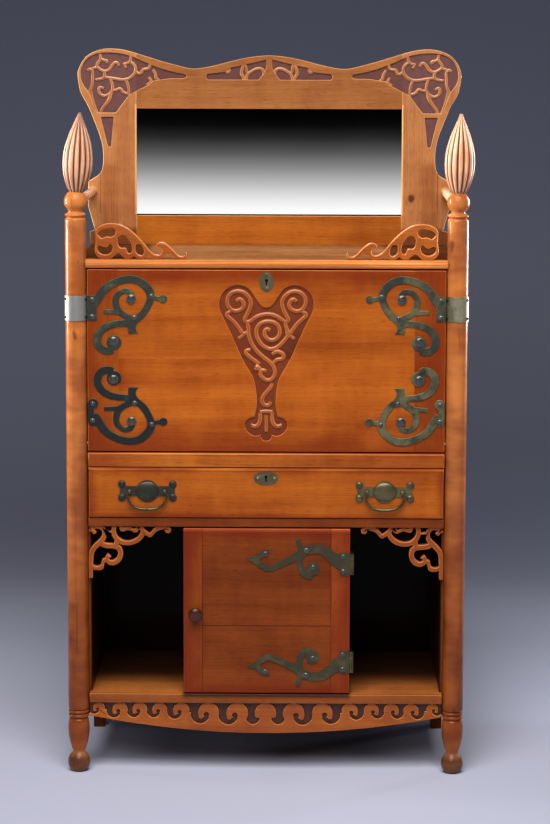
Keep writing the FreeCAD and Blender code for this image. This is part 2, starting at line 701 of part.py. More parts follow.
def fall_front_boards():
    field = shaped("lyre_field", lyre_field())
    across = both(f"{FRONT_HALF} - fall_cleat")
    seam = f"{FALL_LOW} + fall_seam"
    keyhole = rod("fall_keyhole", "0", f"{FALL_FRONT} - 1", f"{FALL_TOP} - fall_plate_drop", "key_radius",
                  "fall_thick + 2", ALONG_Y)
    upper = fall_board("fall_upper", across, (seam, FALL_TOP))
    keep(cut("fall_upper_carved", upper, field, keyhole), "fall_upper_board")
    lower = joined("fall_lower", fall_board("fall_lower_flat", across, (PIVOT_Z, seam)),
                   rounded_foot("fall_lower_foot", across))
    keep(cut("fall_lower_carved", lower, field), "fall_lower_board")
    for side, word in ((-1, "left"), (1, "right")):
        width = on_side(side, f"{FRONT_HALF} - fall_cleat", FRONT_HALF)
        cleat = joined(word + "_cleat", fall_board(word + "_cleat_flat", width, (PIVOT_Z, FALL_TOP)),
                       rounded_foot(word + "_cleat_foot", width))
        bore = rod(word + "_cleat_bore", pin_start(side), AXIS_Y, PIVOT_Z, "pivot_radius",
                   pin_length(), ALONG_X)
        keep(cut(word + "_cleat_bored", cleat, bore), f"fall_{word}_cleat")


def pin_start(side):
    inner = f"{FRONT_HALF} - pivot_reach"
    return inner if side > 0 else f"-({inner} + {pin_length()})"


def pin_length():
    return "(2 * pivot_reach + post_gap)"


def fall_pins():
    pins = [rod(word + "_pivot_pin", pin_start(side), AXIS_Y, PIVOT_Z, "pivot_radius", pin_length(), ALONG_X)
            for side, word in ((-1, "left"), (1, "right"))]
    keep(group("fall_pins", *pins), "fall_pivot_pins")


def mount_plate():
    """The plate of a scroll mount at the edge of the fall, in line with the post band."""
    return plate(0, S.mount_plate, -S.band_height / 2, S.band_height / 2)


def mount_lobes():
    """The rounded foot of a lower scroll mount, which has no band beside it."""
    return [plate(0, 14, -19, 19), disc(12, 19, 12), disc(12, -19, 12)]


def mount_scrolls():
    """A scroll mount drawn from the edge of the fall: great ring, inner volute, lower curl and tip."""
    return [
        ribbon((12, 6, 19), (29, 29, 19), (41, 44.5, 18), (56, 54.5, 17), (75, 62, 17), (97.5, 65, 17),
               (117, 60, 17.5), (131, 49, 18.5), (140.5, 34.5, 18.5), (141.5, 23, 17.5), (136, 7.5, 16),
               (129, -5.5, 16), (120.5, -15.5, 16), (110, -24, 16), (102, -34, 17), (103, -57, 22)),
        ribbon((101, -32, 14), (86, -17, 15), (71, -7, 15), (64.5, 7.5, 15), (64.5, 22, 14),
               (73.5, 34.5, 13), (87, 39, 13), (97.5, 33, 13), (99, 22, 14)),
        disc(98, 20.5, 11),
        ribbon((36.5, -8, 9), (50, -8, 10), (69, -9, 11)),
        ribbon((102, -30, 14), (86, -33, 15), (71, -34, 15), (50, -38.5, 16), (35, -47, 16.5),
               (25, -60, 17.5), (22, -74, 17.5), (28, -88, 17.5), (43, -95.5, 17.5), (57, -91, 18)),
        disc(59.5, -77, 16.5),
        ribbon((136, 25, 14), (151, 23, 10), (164, 21, 11)),
        disc(169, 21, 9.5),
    ]


MOUNT_REACH = 105
MOUNT_SCREWS = ((11, 19), (11, -19), (98, 20.5), (105, -21), (143, 27), (58, -74))


def fall_mounts():
    front = fall_front - S.metal
    share = (mount_high - mount_low - S.mount_gap) / 2 / MOUNT_REACH
    scrolls = sized(mount_scrolls(), share)
    upper = united([mount_plate()] + scrolls, front, S.metal)
    lower = flipped(united(sized(mount_lobes(), share) + scrolls, front, S.metal))
    screws = []
    for word, mount, height, lift in (("upper", upper, mount_high, 1), ("lower", lower, mount_low, -1)):
        left = moved(mount, -front_half, height)
        keep(shaped(word + "_mounts", Part.Compound([left, mirrored(left)])), word + "_fall_mounts")
        for across, up in MOUNT_SCREWS:
            for side in (-1, 1):
                x = side * (front_half - share * across)
                screws.append(screw_head(x, front, height + lift * share * up))
    keep(shaped("mount_screws", Part.Compound(screws)), "fall_mount_screws")


def screw_head(x, front, z):
    """A round screw head standing on a plate."""
    return Part.makeCone(S.screw_radius, S.screw_top, S.screw_rise, Vector(x, front, z), Vector(0, -1, 0))


def post_bands():
    """Bronze bands round the front of the posts, each with four nail heads."""
    inner = S.post_radius + S.fit_gap
    outer = inner + S.band_thick
    low = mount_high - S.band_height / 2
    ring = Part.makeCylinder(outer, S.band_height, Vector(S.post_x, axis_y, low))
    ring = ring.cut(Part.makeCylinder(inner, S.band_height, Vector(S.post_x, axis_y, low)))
    front = Part.makeBox(2 * outer, outer, S.band_height, Vector(S.post_x - outer, axis_y - outer, low))
    band = ring.common(front)
    for angle in (-60, 60):
        for rise in (-1, 1):
            turn = math.radians(angle)
            out = Vector(math.sin(turn), -math.cos(turn), 0)
            seat = Vector(S.post_x, axis_y, mount_high + rise * S.band_height * 0.36)
            head = Part.makeCone(S.screw_radius, S.screw_radius / 2, S.screw_rise + 1,
                                 seat + out * (outer - 1), out)
            band = band.fuse(head)
    band = band.removeSplitter()
    keep(shaped("bands", Part.Compound([mirrored(band), band])), "post_bands")


def keyhole_plate(across, up, z, front):
    """An oval escutcheon with its keyhole and two nail heads."""
    wide = max(across, up)
    narrow = min(across, up)
    axis = Vector(1, 0, 0) if across > up else Vector(0, 0, 1)
    rim = Part.Ellipse(axis * (wide / 2), Vector(0, 0, narrow / 2) if across > up else
                       Vector(narrow / 2, 0, 0), CENTRE)
    thick = S.metal / 2
    eye = S.key_radius
    solid = pushed(Part.Face(Part.Wire([rim.toShape()])), front - thick, thick)
    keyhole = [disc(0, eye, eye), plate(-eye / 2, eye / 2, -2 * eye, eye)]
    solid = solid.cut(united(keyhole, front - thick, thick))
    for side in (-1, 1):
        nail = axis * (side * wide * 0.36)
        solid = solid.fuse(screw_head(nail.x, front - thick, nail.z))
    solid.translate(Vector(0, 0, z))
    return solid


def lock(word, face, high, label):
    """A lock case behind a face, and the bolt that slides up out of it."""
    depth = (face, f"{face} + lock_thick")
    case = box(word + "_case", both("lock_width / 2"), depth, (f"{high} - lock_height", high))
    bolt_low = f"{high} - bolt_travel - lock_height / 2"
    way = box(word + "_bolt_way", both("bolt_width / 2 + run_gap"), bolt_span(face),
              (f"{bolt_low} - run_gap", f"{high} + 1"))
    keep(cut(word, case, way), label)
    middle = f"{face} + lock_thick / 2"
    keep(box(word + "_bolt", both("bolt_width / 2"),
             (f"{middle} - bolt_thick / 2", f"{middle} + bolt_thick / 2"), (bolt_low, high)),
         label + "_bolt")


def quadrant_stays():
    """Brass arcs about the fall pivot that run through guides on the side boards."""
    start = math.degrees(math.acos((S.fall_thick / 2 + S.stay_thick / 3) / S.stay_radius))
    arcs = []
    guides = []
    for side in (-1, 1):
        low = side * (side_inner - S.stay_inset) - S.stay_thick / 2
        arcs.append(stay(low, start))
        guides.append(stay_guide(side, low))
    keep(shaped("stays", Part.Compound(arcs)), "quadrant_stays")
    keep(shaped("guides", Part.Compound(guides)), "stay_guides")


def stay_ring(low, thick, play):
    """A whole ring about the pivot, square in section."""
    centre = Vector(low, axis_y, pivot_z)
    along = Vector(1, 0, 0)
    reach = S.stay_width / 2 + play
    outer = Part.makeCylinder(S.stay_radius + reach, thick, centre, along)
    return outer.cut(Part.makeCylinder(S.stay_radius - reach, thick, centre, along))


def stay(low, start):
    reach = S.stay_radius + S.stay_width
    corners = [CENTRE]
    for angle in (start, (start - S.stay_tail) / 2, -S.stay_tail):
        turn = math.radians(angle)
        corners.append(Vector(0, 2 * reach * math.cos(turn), 2 * reach * math.sin(turn)))
    wedge = Part.Face(Part.makePolygon(corners + [CENTRE])).extrude(Vector(S.stay_thick, 0, 0))
    wedge.translate(Vector(low, axis_y, pivot_z))
    arc = stay_ring(low, S.stay_thick, 0).common(wedge)
    seat = Vector(low - 1.5 * S.stay_thick, fall_back, pivot_z + S.stay_radius - 2.5 * S.stay_width)
    leaf = Part.makeBox(4 * S.stay_thick, S.stay_thick / 2, 5 * S.stay_width, seat)
    return arc.fuse(leaf).removeSplitter()


def stay_guide(side, low):
    """A block on a side board with a slot for the stay, just behind the closed fall."""
    wide = S.stay_inset + S.stay_thick / 2 + S.stay_play + S.guide_wall
    left = side_inner - wide if side > 0 else -side_inner
    start_y = fall_back + S.stop_gap + S.guide_gap
    height = 3 * S.stay_width
    block = Part.makeBox(wide, S.guide_depth, height,
                         Vector(left, start_y, pivot_z + S.stay_radius - height / 2))
    slot = stay_ring(low - S.stay_play, S.stay_thick + 2 * S.stay_play, S.stay_play)
    return block.cut(slot)


def fall():
    fall_front_boards()
    fall_pins()
    fall_mounts()
    oval = keyhole_plate(S.fall_plate_wide, S.fall_plate_tall, fall_top - S.fall_plate_drop, fall_front)
    keep(shaped("fall_plate", oval), "fall_escutcheon")
    lock("fall_lock", FALL_BACK, FALL_TOP, "fall_lock")
    quadrant_stays()


# The drawer

def drawer():
    front_z = (DRAWER_LOW, DRAWER_HIGH)
    front = box("drawer_front_blank", both(f"{FRONT_HALF} - drawer_end_gap"), (FACE_Y, FACE_BACK), front_z)
    keyhole = rod("drawer_keyhole", "0", f"{FACE_Y} - 1", f"{DRAWER_LOW} + drawer_plate_rise", "key_radius",
                  "front_thick + 2", ALONG_Y)
    keep(cut("drawer_front_bored", front, keyhole), "drawer_front")
    low = f"{BOARD_TOP} + run_gap"
    side_z = (low, f"{FLOOR_UNDER} - drawer_head_gap")
    end = f"{BACK_Y} - drawer_back_gap"
    for side, word in ((-1, "left"), (1, "right")):
        keep(box(f"drawer_{word}", on_side(side, DRAWER_SIDE_X, f"{DRAWER_SIDE_X} + drawer_side"),
                 (FACE_BACK, end), side_z), f"drawer_{word}_side")
    inside = both(DRAWER_SIDE_X)
    keep(box("drawer_end", inside, (f"{end} - drawer_side", end), side_z), "drawer_back")
    base = f"{low} + drawer_base_rise"
    keep(box("drawer_base_board", inside, (FACE_BACK, f"{end} - drawer_side"),
             (base, f"{base} + drawer_base")), "drawer_bottom")
    oval = keyhole_plate(S.drawer_plate_wide, S.drawer_plate_tall, drawer_low + S.drawer_plate_rise, face_y)
    keep(shaped("drawer_plate", oval), "drawer_escutcheon")
    lock("drawer_lock", FACE_BACK, DRAWER_HIGH, "drawer_lock")


def pull_plate():
    """A fishtail back plate with two studs, bored for the bail."""
    half = S.stud_spacing / 2
    lobe = 9
    tail = half + 17.5
    rise = 15
    faces = [disc(0, 0, 25), plate(-tail, tail, -11, 11)]
    for side in (-1, 1):
        faces += [disc(side * tail, lift * rise, lobe) for lift in (-1, 1)]
        faces.append(plate(side * tail - lobe / 2, side * tail + lobe / 2, -rise, rise))
    solid = united(faces, -S.metal, S.metal)
    for side in (-1, 1):
        stud = Part.makeCylinder(S.stud_radius, S.stud_length, Vector(side * half, -S.metal, 0),
                                 Vector(0, -1, 0))
        solid = solid.fuse(stud)
    bore = Part.makeCylinder(S.bail_radius + S.pin_play, S.stud_spacing + 4 * S.stud_radius,
                             Vector(-half - 2 * S.stud_radius, -S.metal - S.bail_axis, 0), Vector(1, 0, 0))
    return solid.cut(bore).removeSplitter()


def bail():
    """A hanging handle: pins turned in through the studs, arms outside them, and a straight grip."""
    half = S.stud_spacing / 2
    corner = 1.6 * S.bail_radius
    arm = half + S.stud_radius + S.run_gap + corner
    bend = S.bail_bend
    points = [(-half + 1, 0), (-arm, 0), (-arm, -S.bail_drop * 0.4), (-S.bail_flat / 2, -S.bail_drop),
              (S.bail_flat / 2, -S.bail_drop), (arm, -S.bail_drop * 0.4), (arm, 0), (half - 1, 0)]
    radii = (corner, bend, bend, bend, bend, corner)
    path = rounded_path([flat(*point) for point in points], radii)
    ring = Part.Wire([Part.makeCircle(S.bail_radius, flat(*points[0]), Vector(1, 0, 0))])
    return path.makePipeShell([ring], True, False)


def rounded_path(points, radii):
    """Straight runs joined by tangent arcs."""
    edges = []
    start = points[0]
    for index, radius in enumerate(radii, start=1):
        corner = points[index]
        back = (points[index - 1] - corner).normalize()
        ahead = (points[index + 1] - corner).normalize()
        half_turn = back.getAngle(ahead) / 2
        reach = radius / math.tan(half_turn)
        middle = (back + ahead).normalize() * (radius / math.sin(half_turn) - radius)
        edges.append(Part.LineSegment(start, corner + back * reach).toShape())
        edges.append(Part.Arc(corner + back * reach, corner + middle, corner + ahead * reach).toShape())
        start = corner + ahead * reach
    edges.append(Part.LineSegment(start, points[-1]).toShape())
    return Part.Wire(edges)


def pulls():
    plate_pair = []
    for side, word in ((-1, "left"), (1, "right")):
        seat = Vector(side * S.pull_x, face_y, drawer_low + S.pull_rise)
        back = pull_plate()
        back.translate(seat)
        plate_pair.append(back)
        handle = bail()
        handle.translate(seat - Vector(0, S.metal + S.bail_axis, 0))
        keep(shaped(word + "_handle", handle), word + "_bail")
    keep(shaped("pull_plates", Part.Compound(plate_pair)), "drawer_pull_plates")


# The cupboard door

def door_board(name, x, z):
    return box(name, x, (FACE_Y, FACE_BACK), z)


def door():
    middle = (f"-({DOOR_LEFT} - door_cleat)", f"{DOOR_RIGHT} - door_cleat")
    seam = f"{DOOR_LOW} + door_seam"
    keep(door_board("door_upper", middle, (seam, DOOR_HIGH)), "door_upper_board")
    keep(door_board("door_lower", middle, (DOOR_LOW, seam)), "door_lower_board")
    left = door_board("door_left_blank", (f"-{DOOR_LEFT}", middle[0]), (DOOR_LOW, DOOR_HIGH))
    bore = rod("knob_bore", f"-{KNOB_X}", f"{FACE_Y} - 1", KNOB_Z, "spindle_radius + pin_play",
               "front_thick + 2", ALONG_Y)
    keep(cut("door_left_bored", left, bore), "door_left_cleat")
    keep(door_board("door_right_cleat_board", (middle[1], DOOR_RIGHT),
                    (DOOR_LOW, DOOR_HIGH)), "door_right_cleat")


def knob():
    """A turned knob on a spindle, and the latch arm behind the door."""
    front = S.front_reach - S.front_face - S.run_gap
    swell = S.knob_radius - S.knob_neck
    profile = ((0, 0, 0), (S.knob_neck, 0, 0), (S.knob_neck, front / 3, swell), (S.knob_neck, front, 0),
               (0, front, 0))
    head_body = turned("knob_turning", profile)
    place(head_body, f"-{KNOB_X}", f"{FACE_Y} - run_gap", KNOB_Z, FORWARD)
    latch_y = f"{AXIS_Y} + divider_front + latch_lip + latch_room"
    spindle = rod("knob_spindle", f"-{KNOB_X}", f"{FACE_Y} - run_gap", KNOB_Z, "spindle_radius",
                  f"{latch_y} + latch_thick - {FACE_Y} + run_gap", ALONG_Y)
    keep(joined("knob", head_body, spindle), "door_knob")
    arm = box("latch_arm", (f"-{KNOB_X} - latch_width / 2", f"-{KNOB_X} + latch_width / 2"),
              (latch_y, f"{latch_y} + latch_thick"),
              (f"{KNOB_Z} - latch_length", f"{KNOB_Z} + latch_width / 2"))
    hole = rod("latch_hole", f"-{KNOB_X}", f"{latch_y} - 1", KNOB_Z, "spindle_radius",
               "latch_thick + 2", ALONG_Y)
    keep(cut("latch", arm, hole), "door_latch")


def strap_face():
    """A strap hinge drawn from the door's right edge: plate, rising band, hanging curl and leaf end."""
    return [
        plate(-22, 0, -26, 26),
        ribbon((-8, 0, 42), (-22, 5, 34), (-36, 13, 27), (-56, 29, 22), (-80, 34, 20), (-99, 30, 19),
               (-119, 18, 17), (-143, 5, 14), (-167, -6, 13), (-183, -10.5, 13), (-199, -3, 13),
               (-210, 7, 12), (-203, 18, 13), (-190, 27, 11), (-180, 30, 5)),
        ribbon((-203, 6, 12), (-216, 10, 11), (-230, 11.5, 6)),
        ribbon((-108, 30, 13), (-113, 42, 12), (-117, 56, 11)),
        ribbon((-109, 24, 16), (-113, 4, 14), (-109, -14, 14), (-98, -25, 15), (-84, -26, 15)),
        disc(-83, -11, 15),
    ]


STRAP_DRAWN = 230
STRAP_SCREWS = ((-15, 17), (-15, -17), (-98, 31), (-82.5, -8), (-190, 23))


def strap_hinges():
    """Scroll straps on the door, turning on pins held by leaves on the right divider."""
    straps = []
    leaves = []
    screws = []
    front = face_y - S.metal
    share = S.strap_length / STRAP_DRAWN
    strap = united(sized(strap_face(), share), front, S.metal)
    for height, lift in ((hinge_high, 1), (hinge_low, -1)):
        band = moved(strap if lift > 0 else flipped(strap), door_right, height)
        straps.append(knuckled(band, height))
        leaves.append(hinge_leaf(height))
        screws += [screw_head(door_right + share * across, front, height + lift * share * up)
                   for across, up in STRAP_SCREWS]
    keep(shaped("straps", Part.Compound(straps)), "door_strap_hinges")
    keep(shaped("strap_screws", Part.Compound(screws)), "door_screws")
    keep(shaped("leaves", Part.Compound(leaves)), "door_hinge_leaves")


def knuckled(band, height):
    """The strap carried past the door's edge to a tube round the pin."""
    low = height - knuckle_half
    tube = Part.makeCylinder(S.hinge_knuckle, 2 * knuckle_half, Vector(hinge_x, hinge_y, low))
    link = Part.makeBox(hinge_x - door_right + 2, S.metal, 2 * knuckle_half,
                        Vector(door_right - 2, face_y - S.metal, low))
    bore = Part.makeCylinder(S.hinge_pin + S.pin_play, 2 * knuckle_half, Vector(hinge_x, hinge_y, low))
    return band.fuse([tube, link]).cut(bore).removeSplitter()


def hinge_leaf(height):
    """A pin held above and below the strap's tube by a cranked leaf screwed to the divider."""
    thick = S.metal
    crank_y = axis_y + S.divider_front + S.leaf_crank - thick
    pin = Part.makeCylinder(S.hinge_pin, 2 * leaf_half, Vector(hinge_x, hinge_y, height - leaf_half))
    pieces = []
    for low in (height - leaf_half, height + knuckle_half + S.run_gap):
        tall = leaf_half - knuckle_half - S.run_gap
        pieces.append(Part.makeCylinder(S.hinge_knuckle, tall, Vector(hinge_x, hinge_y, low)))
        pieces.append(Part.makeBox(thick, crank_y + thick - hinge_y, tall,
                                   Vector(hinge_x - thick / 2, hinge_y, low)))
    pieces.append(Part.makeBox(hinge_x + thick / 2 - divider_outer, thick, 2 * leaf_half,
                               Vector(divider_outer, crank_y, height - leaf_half)))
    pieces.append(Part.makeBox(thick, S.leaf_length, 2 * leaf_half,
                               Vector(divider_outer, crank_y, height - leaf_half)))
    return pin.fuse(pieces).removeSplitter()


# Fretted and carved trim

LOW_FRET_DRAWN = 187
HIGH_FRET_DRAWN = 238


def compartment_bracket():
    """A pierced corner bracket drawn from the inner corner of a compartment, under the drawer board."""
    return [
        ribbon((6, -120, 8), (6, -89, 10), (7, -65, 10.5)),
        ribbon((7, -67, 10.5), (13.5, -51.5, 11.5), (26, -39, 11.5), (36, -25, 10.5), (36, -11.5, 9.5),
               (28.5, -4, 8.5), (17, -3, 7.5), (4, -4, 8.5)),
        ribbon((3, -9.5, 7.5), (10.5, -11.5, 7.5), (16, -18, 8.5)),
        ribbon((29.5, -40, 11.5), (45, -46, 11.5), (60, -47, 11.5), (69, -51.5, 11.5), (73, -63, 11.5),
               (68, -78, 11.5), (57, -85, 11.5), (44, -81, 10.5)),
        ribbon((45, -82, 9.5), (43, -73.5, 8.5), (48, -68, 10.5)),
        ribbon((46, -81, 8.5), (33.5, -84, 8.5), (31.5, -93.5, 9.5), (21, -97.5, 9.5), (6, -91, 8.5)),
        ribbon((60, -1, 10.5), (58, -17, 10.5), (67, -32.5, 10.5), (87, -39.5, 10.5), (108, -34.5, 10.5),
               (121, -22, 10.5), (123, -9.5, 9.5), (113, -3, 9.5)),
        ribbon((73, 0, 8.5), (80, -8.5, 9.5), (92, -6, 7.5), (103, -10.5, 8.5), (113, -4, 9.5)),
        ribbon((65, -31.5, 9.5), (63, -48, 10.5)),
        ribbon((42, -14.5, 7.5), (49, -16, 6.5), (60, -14.5, 8.5)),
        ribbon((120, -12.5, 8.5), (131, -17, 9.5), (140, -21, 9.5), (148, -12.5, 8.5), (161, -5, 8.5),
               (176, -3.5, 8.5)),
        disc(180, -9.5, 7),
        plate(155, 168, -6, 0),
    ]


# A gallery bracket, drawn from its outer foot on the case top: the runs of its edge, with corners
# between them, and its piercings.
GALLERY_EDGE = (
    ((48.4, 0), (39.9, 5.3), (34.9, 13.1), (33.5, 23.6), (35.5, 33), (35.8, 49.9), (35.2, 62)),
    ((35.2, 62), (39.9, 70), (50.1, 76.5), (61.9, 79.8), (73.8, 80), (87.3, 77.9), (100.9, 71.8),
     (114.4, 63), (126.3, 52.5), (138.1, 40.3), (150, 25.4), (160.1, 14.9), (170.3, 10), (177.1, 9.6)),
    ((177.1, 9.6), (181.8, 14.9), (183, 21), (179.1, 25.7), (172, 27.5)),
    ((172, 27.5), (170.3, 31.5), (175.4, 36.8), (183, 37.6), (190.6, 35), (200.8, 27.1), (210.1, 17.5),
     (219.4, 8.6), (228, 6.5), (232.8, 9), (233.8, 14.9)),
    ((233.8, 14.9), (236.8, 15.2)),
    ((236.8, 15.2), (238, 9.6), (235.5, 3.5), (230.4, 0)),
    ((230.4, 0), (217.7, 0)),
    ((217.7, 0), (209.2, 5.3), (202.5, 12), (195.7, 13.5), (189.8, 9), (183.8, 2.6), (177.1, 0)),
    ((177.1, 0), (166.9, 0)),
    ((166.9, 0), (159.3, 4), (153.4, 7), (147.4, 4.5), (140, 0)),
    ((140, 0), (131, 0)),
    ((131, 0), (126, 3.5), (121.2, 6.5), (116, 4), (112, 0)),
    ((112, 0), (103, 0)),
    ((103, 0), (98, 4), (92.4, 9.6), (85.6, 13), (78.9, 9.6), (72.1, 3), (65, 0)),
    ((65, 0), (48.4, 0)),
)
GALLERY_PIERCINGS = (
    ((40.8, 59.5), (50.1, 66.2), (63.6, 69.8), (73.8, 70.9), (79.2, 66.5), (80.2, 59.5), (76.3, 52.5),
     (69.6, 49.5), (58.6, 50.2), (49.2, 46.7), (43.7, 49.9)),
    ((39.5, 24.5), (43, 30.5), (49, 29), (55.2, 26.5), (63, 28.5), (67.5, 34), (72.4, 31), (73.5, 23.6),
     (70.1, 15.8), (62.8, 11), (51.8, 10.5), (43.7, 14), (39.9, 19.3)),
    ((84.3, 42.9), (86.5, 50.8), (94.1, 54.4), (100.9, 52.7), (107.7, 46), (114.1, 35.9), (116.6, 25.4),
     (115.3, 16.6), (110.2, 12.8), (105.6, 16), (103.9, 21.9), (98.5, 25.5), (91.6, 25), (86, 31)),
    ((124.1, 27.1), (128.3, 34.5), (134.7, 33.6), (141.2, 25.4), (143, 16.6), (139.8, 9.6), (134.7, 8.4),
     (128.3, 11.5), (124.1, 18.4)),
)


def gallery_bracket(front, thick):
    """A pierced wave bracket, as a board with its piercings cut through."""
    share = S.high_fret_length / HIGH_FRET_DRAWN
    edges = []
    for run in GALLERY_EDGE:
        edges += [spline(run)] if len(run) > 2 else lines(*run)
    board = sized([face_of(*edges)], share)[0]
    holes = sized([face_of(spline(hole, True)) for hole in GALLERY_PIERCINGS], share)
    return pushed(board, front, thick).cut([pushed(hole, front - 1, thick + 2) for hole in holes])


def post_scribe(side):
    """The space that a post takes, as a plain solid."""
    return Part.makeCylinder(S.post_radius + S.fit_gap, crown_z, Vector(side * S.post_x, axis_y, 0))


def slab(low, high):
    """Everything about the front of the desk between two heights."""
    reach = 2 * S.post_x
    return Part.makeBox(2 * reach, reach, high - low, Vector(-reach, axis_y - reach / 2, low))


def brackets():
    low = sized(compartment_bracket(), S.low_fret_length / LOW_FRET_DRAWN)
    low = united(low, axis_y - S.fret_front, S.fret_thick)
    low = moved(low, S.post_radius - S.post_x, board_under)
    low = low.cut([post_scribe(-1), slab(board_under, board_top)])
    keep(shaped("low_brackets", Part.Compound([low, mirrored(low)])), "compartment_brackets")
    high = gallery_bracket(axis_y - S.fret_front, S.fret_thick)
    high = moved(high, S.gallery_inset - S.post_x, crown_z).cut(slab(top_under, crown_z))
    keep(shaped("high_brackets", Part.Compound([high, mirrored(high)])), "gallery_brackets")


WAVES = (0, 64, 129, 191, 240, 285, 330, 378)


def bow(x):
    """Depth of the apron below the shelf, larger towards the middle."""
    share = 1 - (x / front_half) ** 2
    return S.apron_end + (S.apron_middle - S.apron_end) * share


def wave_radius(index):
    """Radius of a wave's round head, smaller where the waves are closer or the apron is lower."""
    last = min(index + 1, len(WAVES) - 1)
    gap = WAVES[last] - WAVES[last - 1]
    return min(0.375 * gap, (bow(WAVES[index]) - S.apron_edge) / 2.09)


def wave_pocket(index, front):
    """The sunk ground outside one wave: a round socket that the hook of the wave curls into."""
    x = WAVES[index]
    radius = wave_radius(index)
    top = S.shelf_height - S.apron_head

    def sunk(face):
        return pushed(face, front - 1, S.apron_relief + 1)

    middle = index == 0
    socket = disc(1.19 * radius, top - 1.43 * radius, 0.65 * radius) if middle else disc(
        x + 0.83 * radius, top - 1.17 * radius, 0.92 * radius)
    beyond = WAVES[index + 1] if index + 1 < len(WAVES) else front_half
    pocket = sunk(socket).fuse(sunk(plate(x, beyond, top - radius, top + 2 * S.apron_head)))
    below = sunk(plate(x - 2 * radius, x + 2 * radius, top - 3 * radius, top - 1.42 * radius))
    head = sunk(disc(x, top - radius, radius)).cut(below)
    if not middle:
        head = head.fuse(sunk(disc(x + 0.74 * radius, top - 1.38 * radius, 0.22 * radius)))
        head = head.cut(sunk(disc(x + 0.22 * radius, top - 1.2 * radius, 0.28 * radius)))
        pocket = pocket.fuse(sunk(disc(x + 0.22 * radius, top - 1.2 * radius, 0.28 * radius)))
    pocket = pocket.cut(head)
    if index + 1 < len(WAVES):
        near = wave_radius(index + 1)
        pocket = pocket.cut(sunk(disc(beyond, top - near, near)))
    return pocket


def apron():
    """A bowed board under the shelf, its ground cut back between the heads of a running wave."""
    half = front_half
    steps = [half * step / 4 for step in range(-4, 5)]
    lower = [(x, S.shelf_height - bow(x)) for x in steps]
    rim = lines((-half, lower[0][1]), (-half, S.shelf_height), (half, S.shelf_height), (half, lower[-1][1]))
    front = axis_y - S.apron_nose
    board = pushed(face_of(spline(lower), *rim), front, S.apron_thick)
    pockets = [wave_pocket(index, front) for index in range(len(WAVES))]
    board = board.cut(pockets + [mirrored(pocket) for pocket in pockets])
    board = board.cut([post_scribe(-1), post_scribe(1)])
    keep(shaped("apron_board", board.removeSplitter()), "apron")


# The mirror back

# The left half of the mirror back. Heights are above the case top; the crest is drawn from the centre
# line, and the ear, the flare and their carving from the post axis.
CREST_EDGE = (
    (0, 446), (-35, 443), (-78, 435), (-120, 424), (-160, 416), (-178, 414.5),
)
EAR_EDGE = (
    (219, 419), (172, 431.5), (131, 444), (90, 456), (49, 461), (15, 454.5), (-6, 442), (-20, 423),
    (-26.5, 403), (-24.5, 379), (-19, 356), (-5, 331), (8, 301), (22, 265), (31, 231), (32.5, 199),
    (29, 176), (19, 162),
)
FLARE = (
    (19, 162), (-3, 149), (-4, 91), (12, 34), (0, 30),
)
EAR_FIELD = (
    (20, 311), (8, 336), (-1, 359), (-14, 377), (-19, 406.5), (-12, 427), (1.5, 441), (22, 449.5),
    (49, 451.5), (90, 446), (142, 425), (170, 414.5), (192, 408), (222, 402.5),
)
EAR_FIELD_FOOT = (
    (222, 402.5), (228, 400.5), (230, 397), (228, 393.5), (222, 392), (189, 391.5), (162, 387.5),
    (150, 386), (143, 378), (94, 352.5), (63, 311), (20, 311),
)
WEDGE_FIELD = (
    (27, 301), (58, 301), (51, 231), (44, 231),
)
CREST_FIELD = (
    (-144.5, 389), (-147.5, 391.5), (-148.5, 395.5), (-147.5, 399.5), (-144.5, 402), (-103, 407), (-89.5, 417), (-57, 424), (-7, 436), (-7, 416.5),
    (-14, 403), (-25, 389),
)


def from_middle(points):
    return [(x, crown_z + rise) for x, rise in points]


def from_post(points):
    return [(x - S.post_x, crown_z + rise) for x, rise in points]


def frame_blank():
    """The whole outline of the mirror back, before it is divided into stiles and rails."""
    left = spline(from_middle(CREST_EDGE) + from_post(EAR_EDGE))
    foot = (-S.post_x, crown_z)
    edges = [left] + lines(*from_post(FLARE), foot)
    edges += [mirrored(edge) for edge in edges] + lines(foot, (S.post_x, crown_z))
    blank = pushed(face_of(*edges), mirror_y, S.mirror_thick)
    wedge = from_post(WEDGE_FIELD)
    crest = from_middle(CREST_FIELD)
    ear = face_of(spline(from_post(EAR_FIELD)), *lines(*from_post(EAR_FIELD_FOOT)))
    fields = (ear, face_of(*lines(*wedge, wedge[0])), face_of(*lines(*crest, crest[0])))
    for field in fields:
        sunk = pushed(field, mirror_y - 1, S.carve_depth + 1)
        blank = blank.cut([sunk, mirrored(sunk)])
    return blank


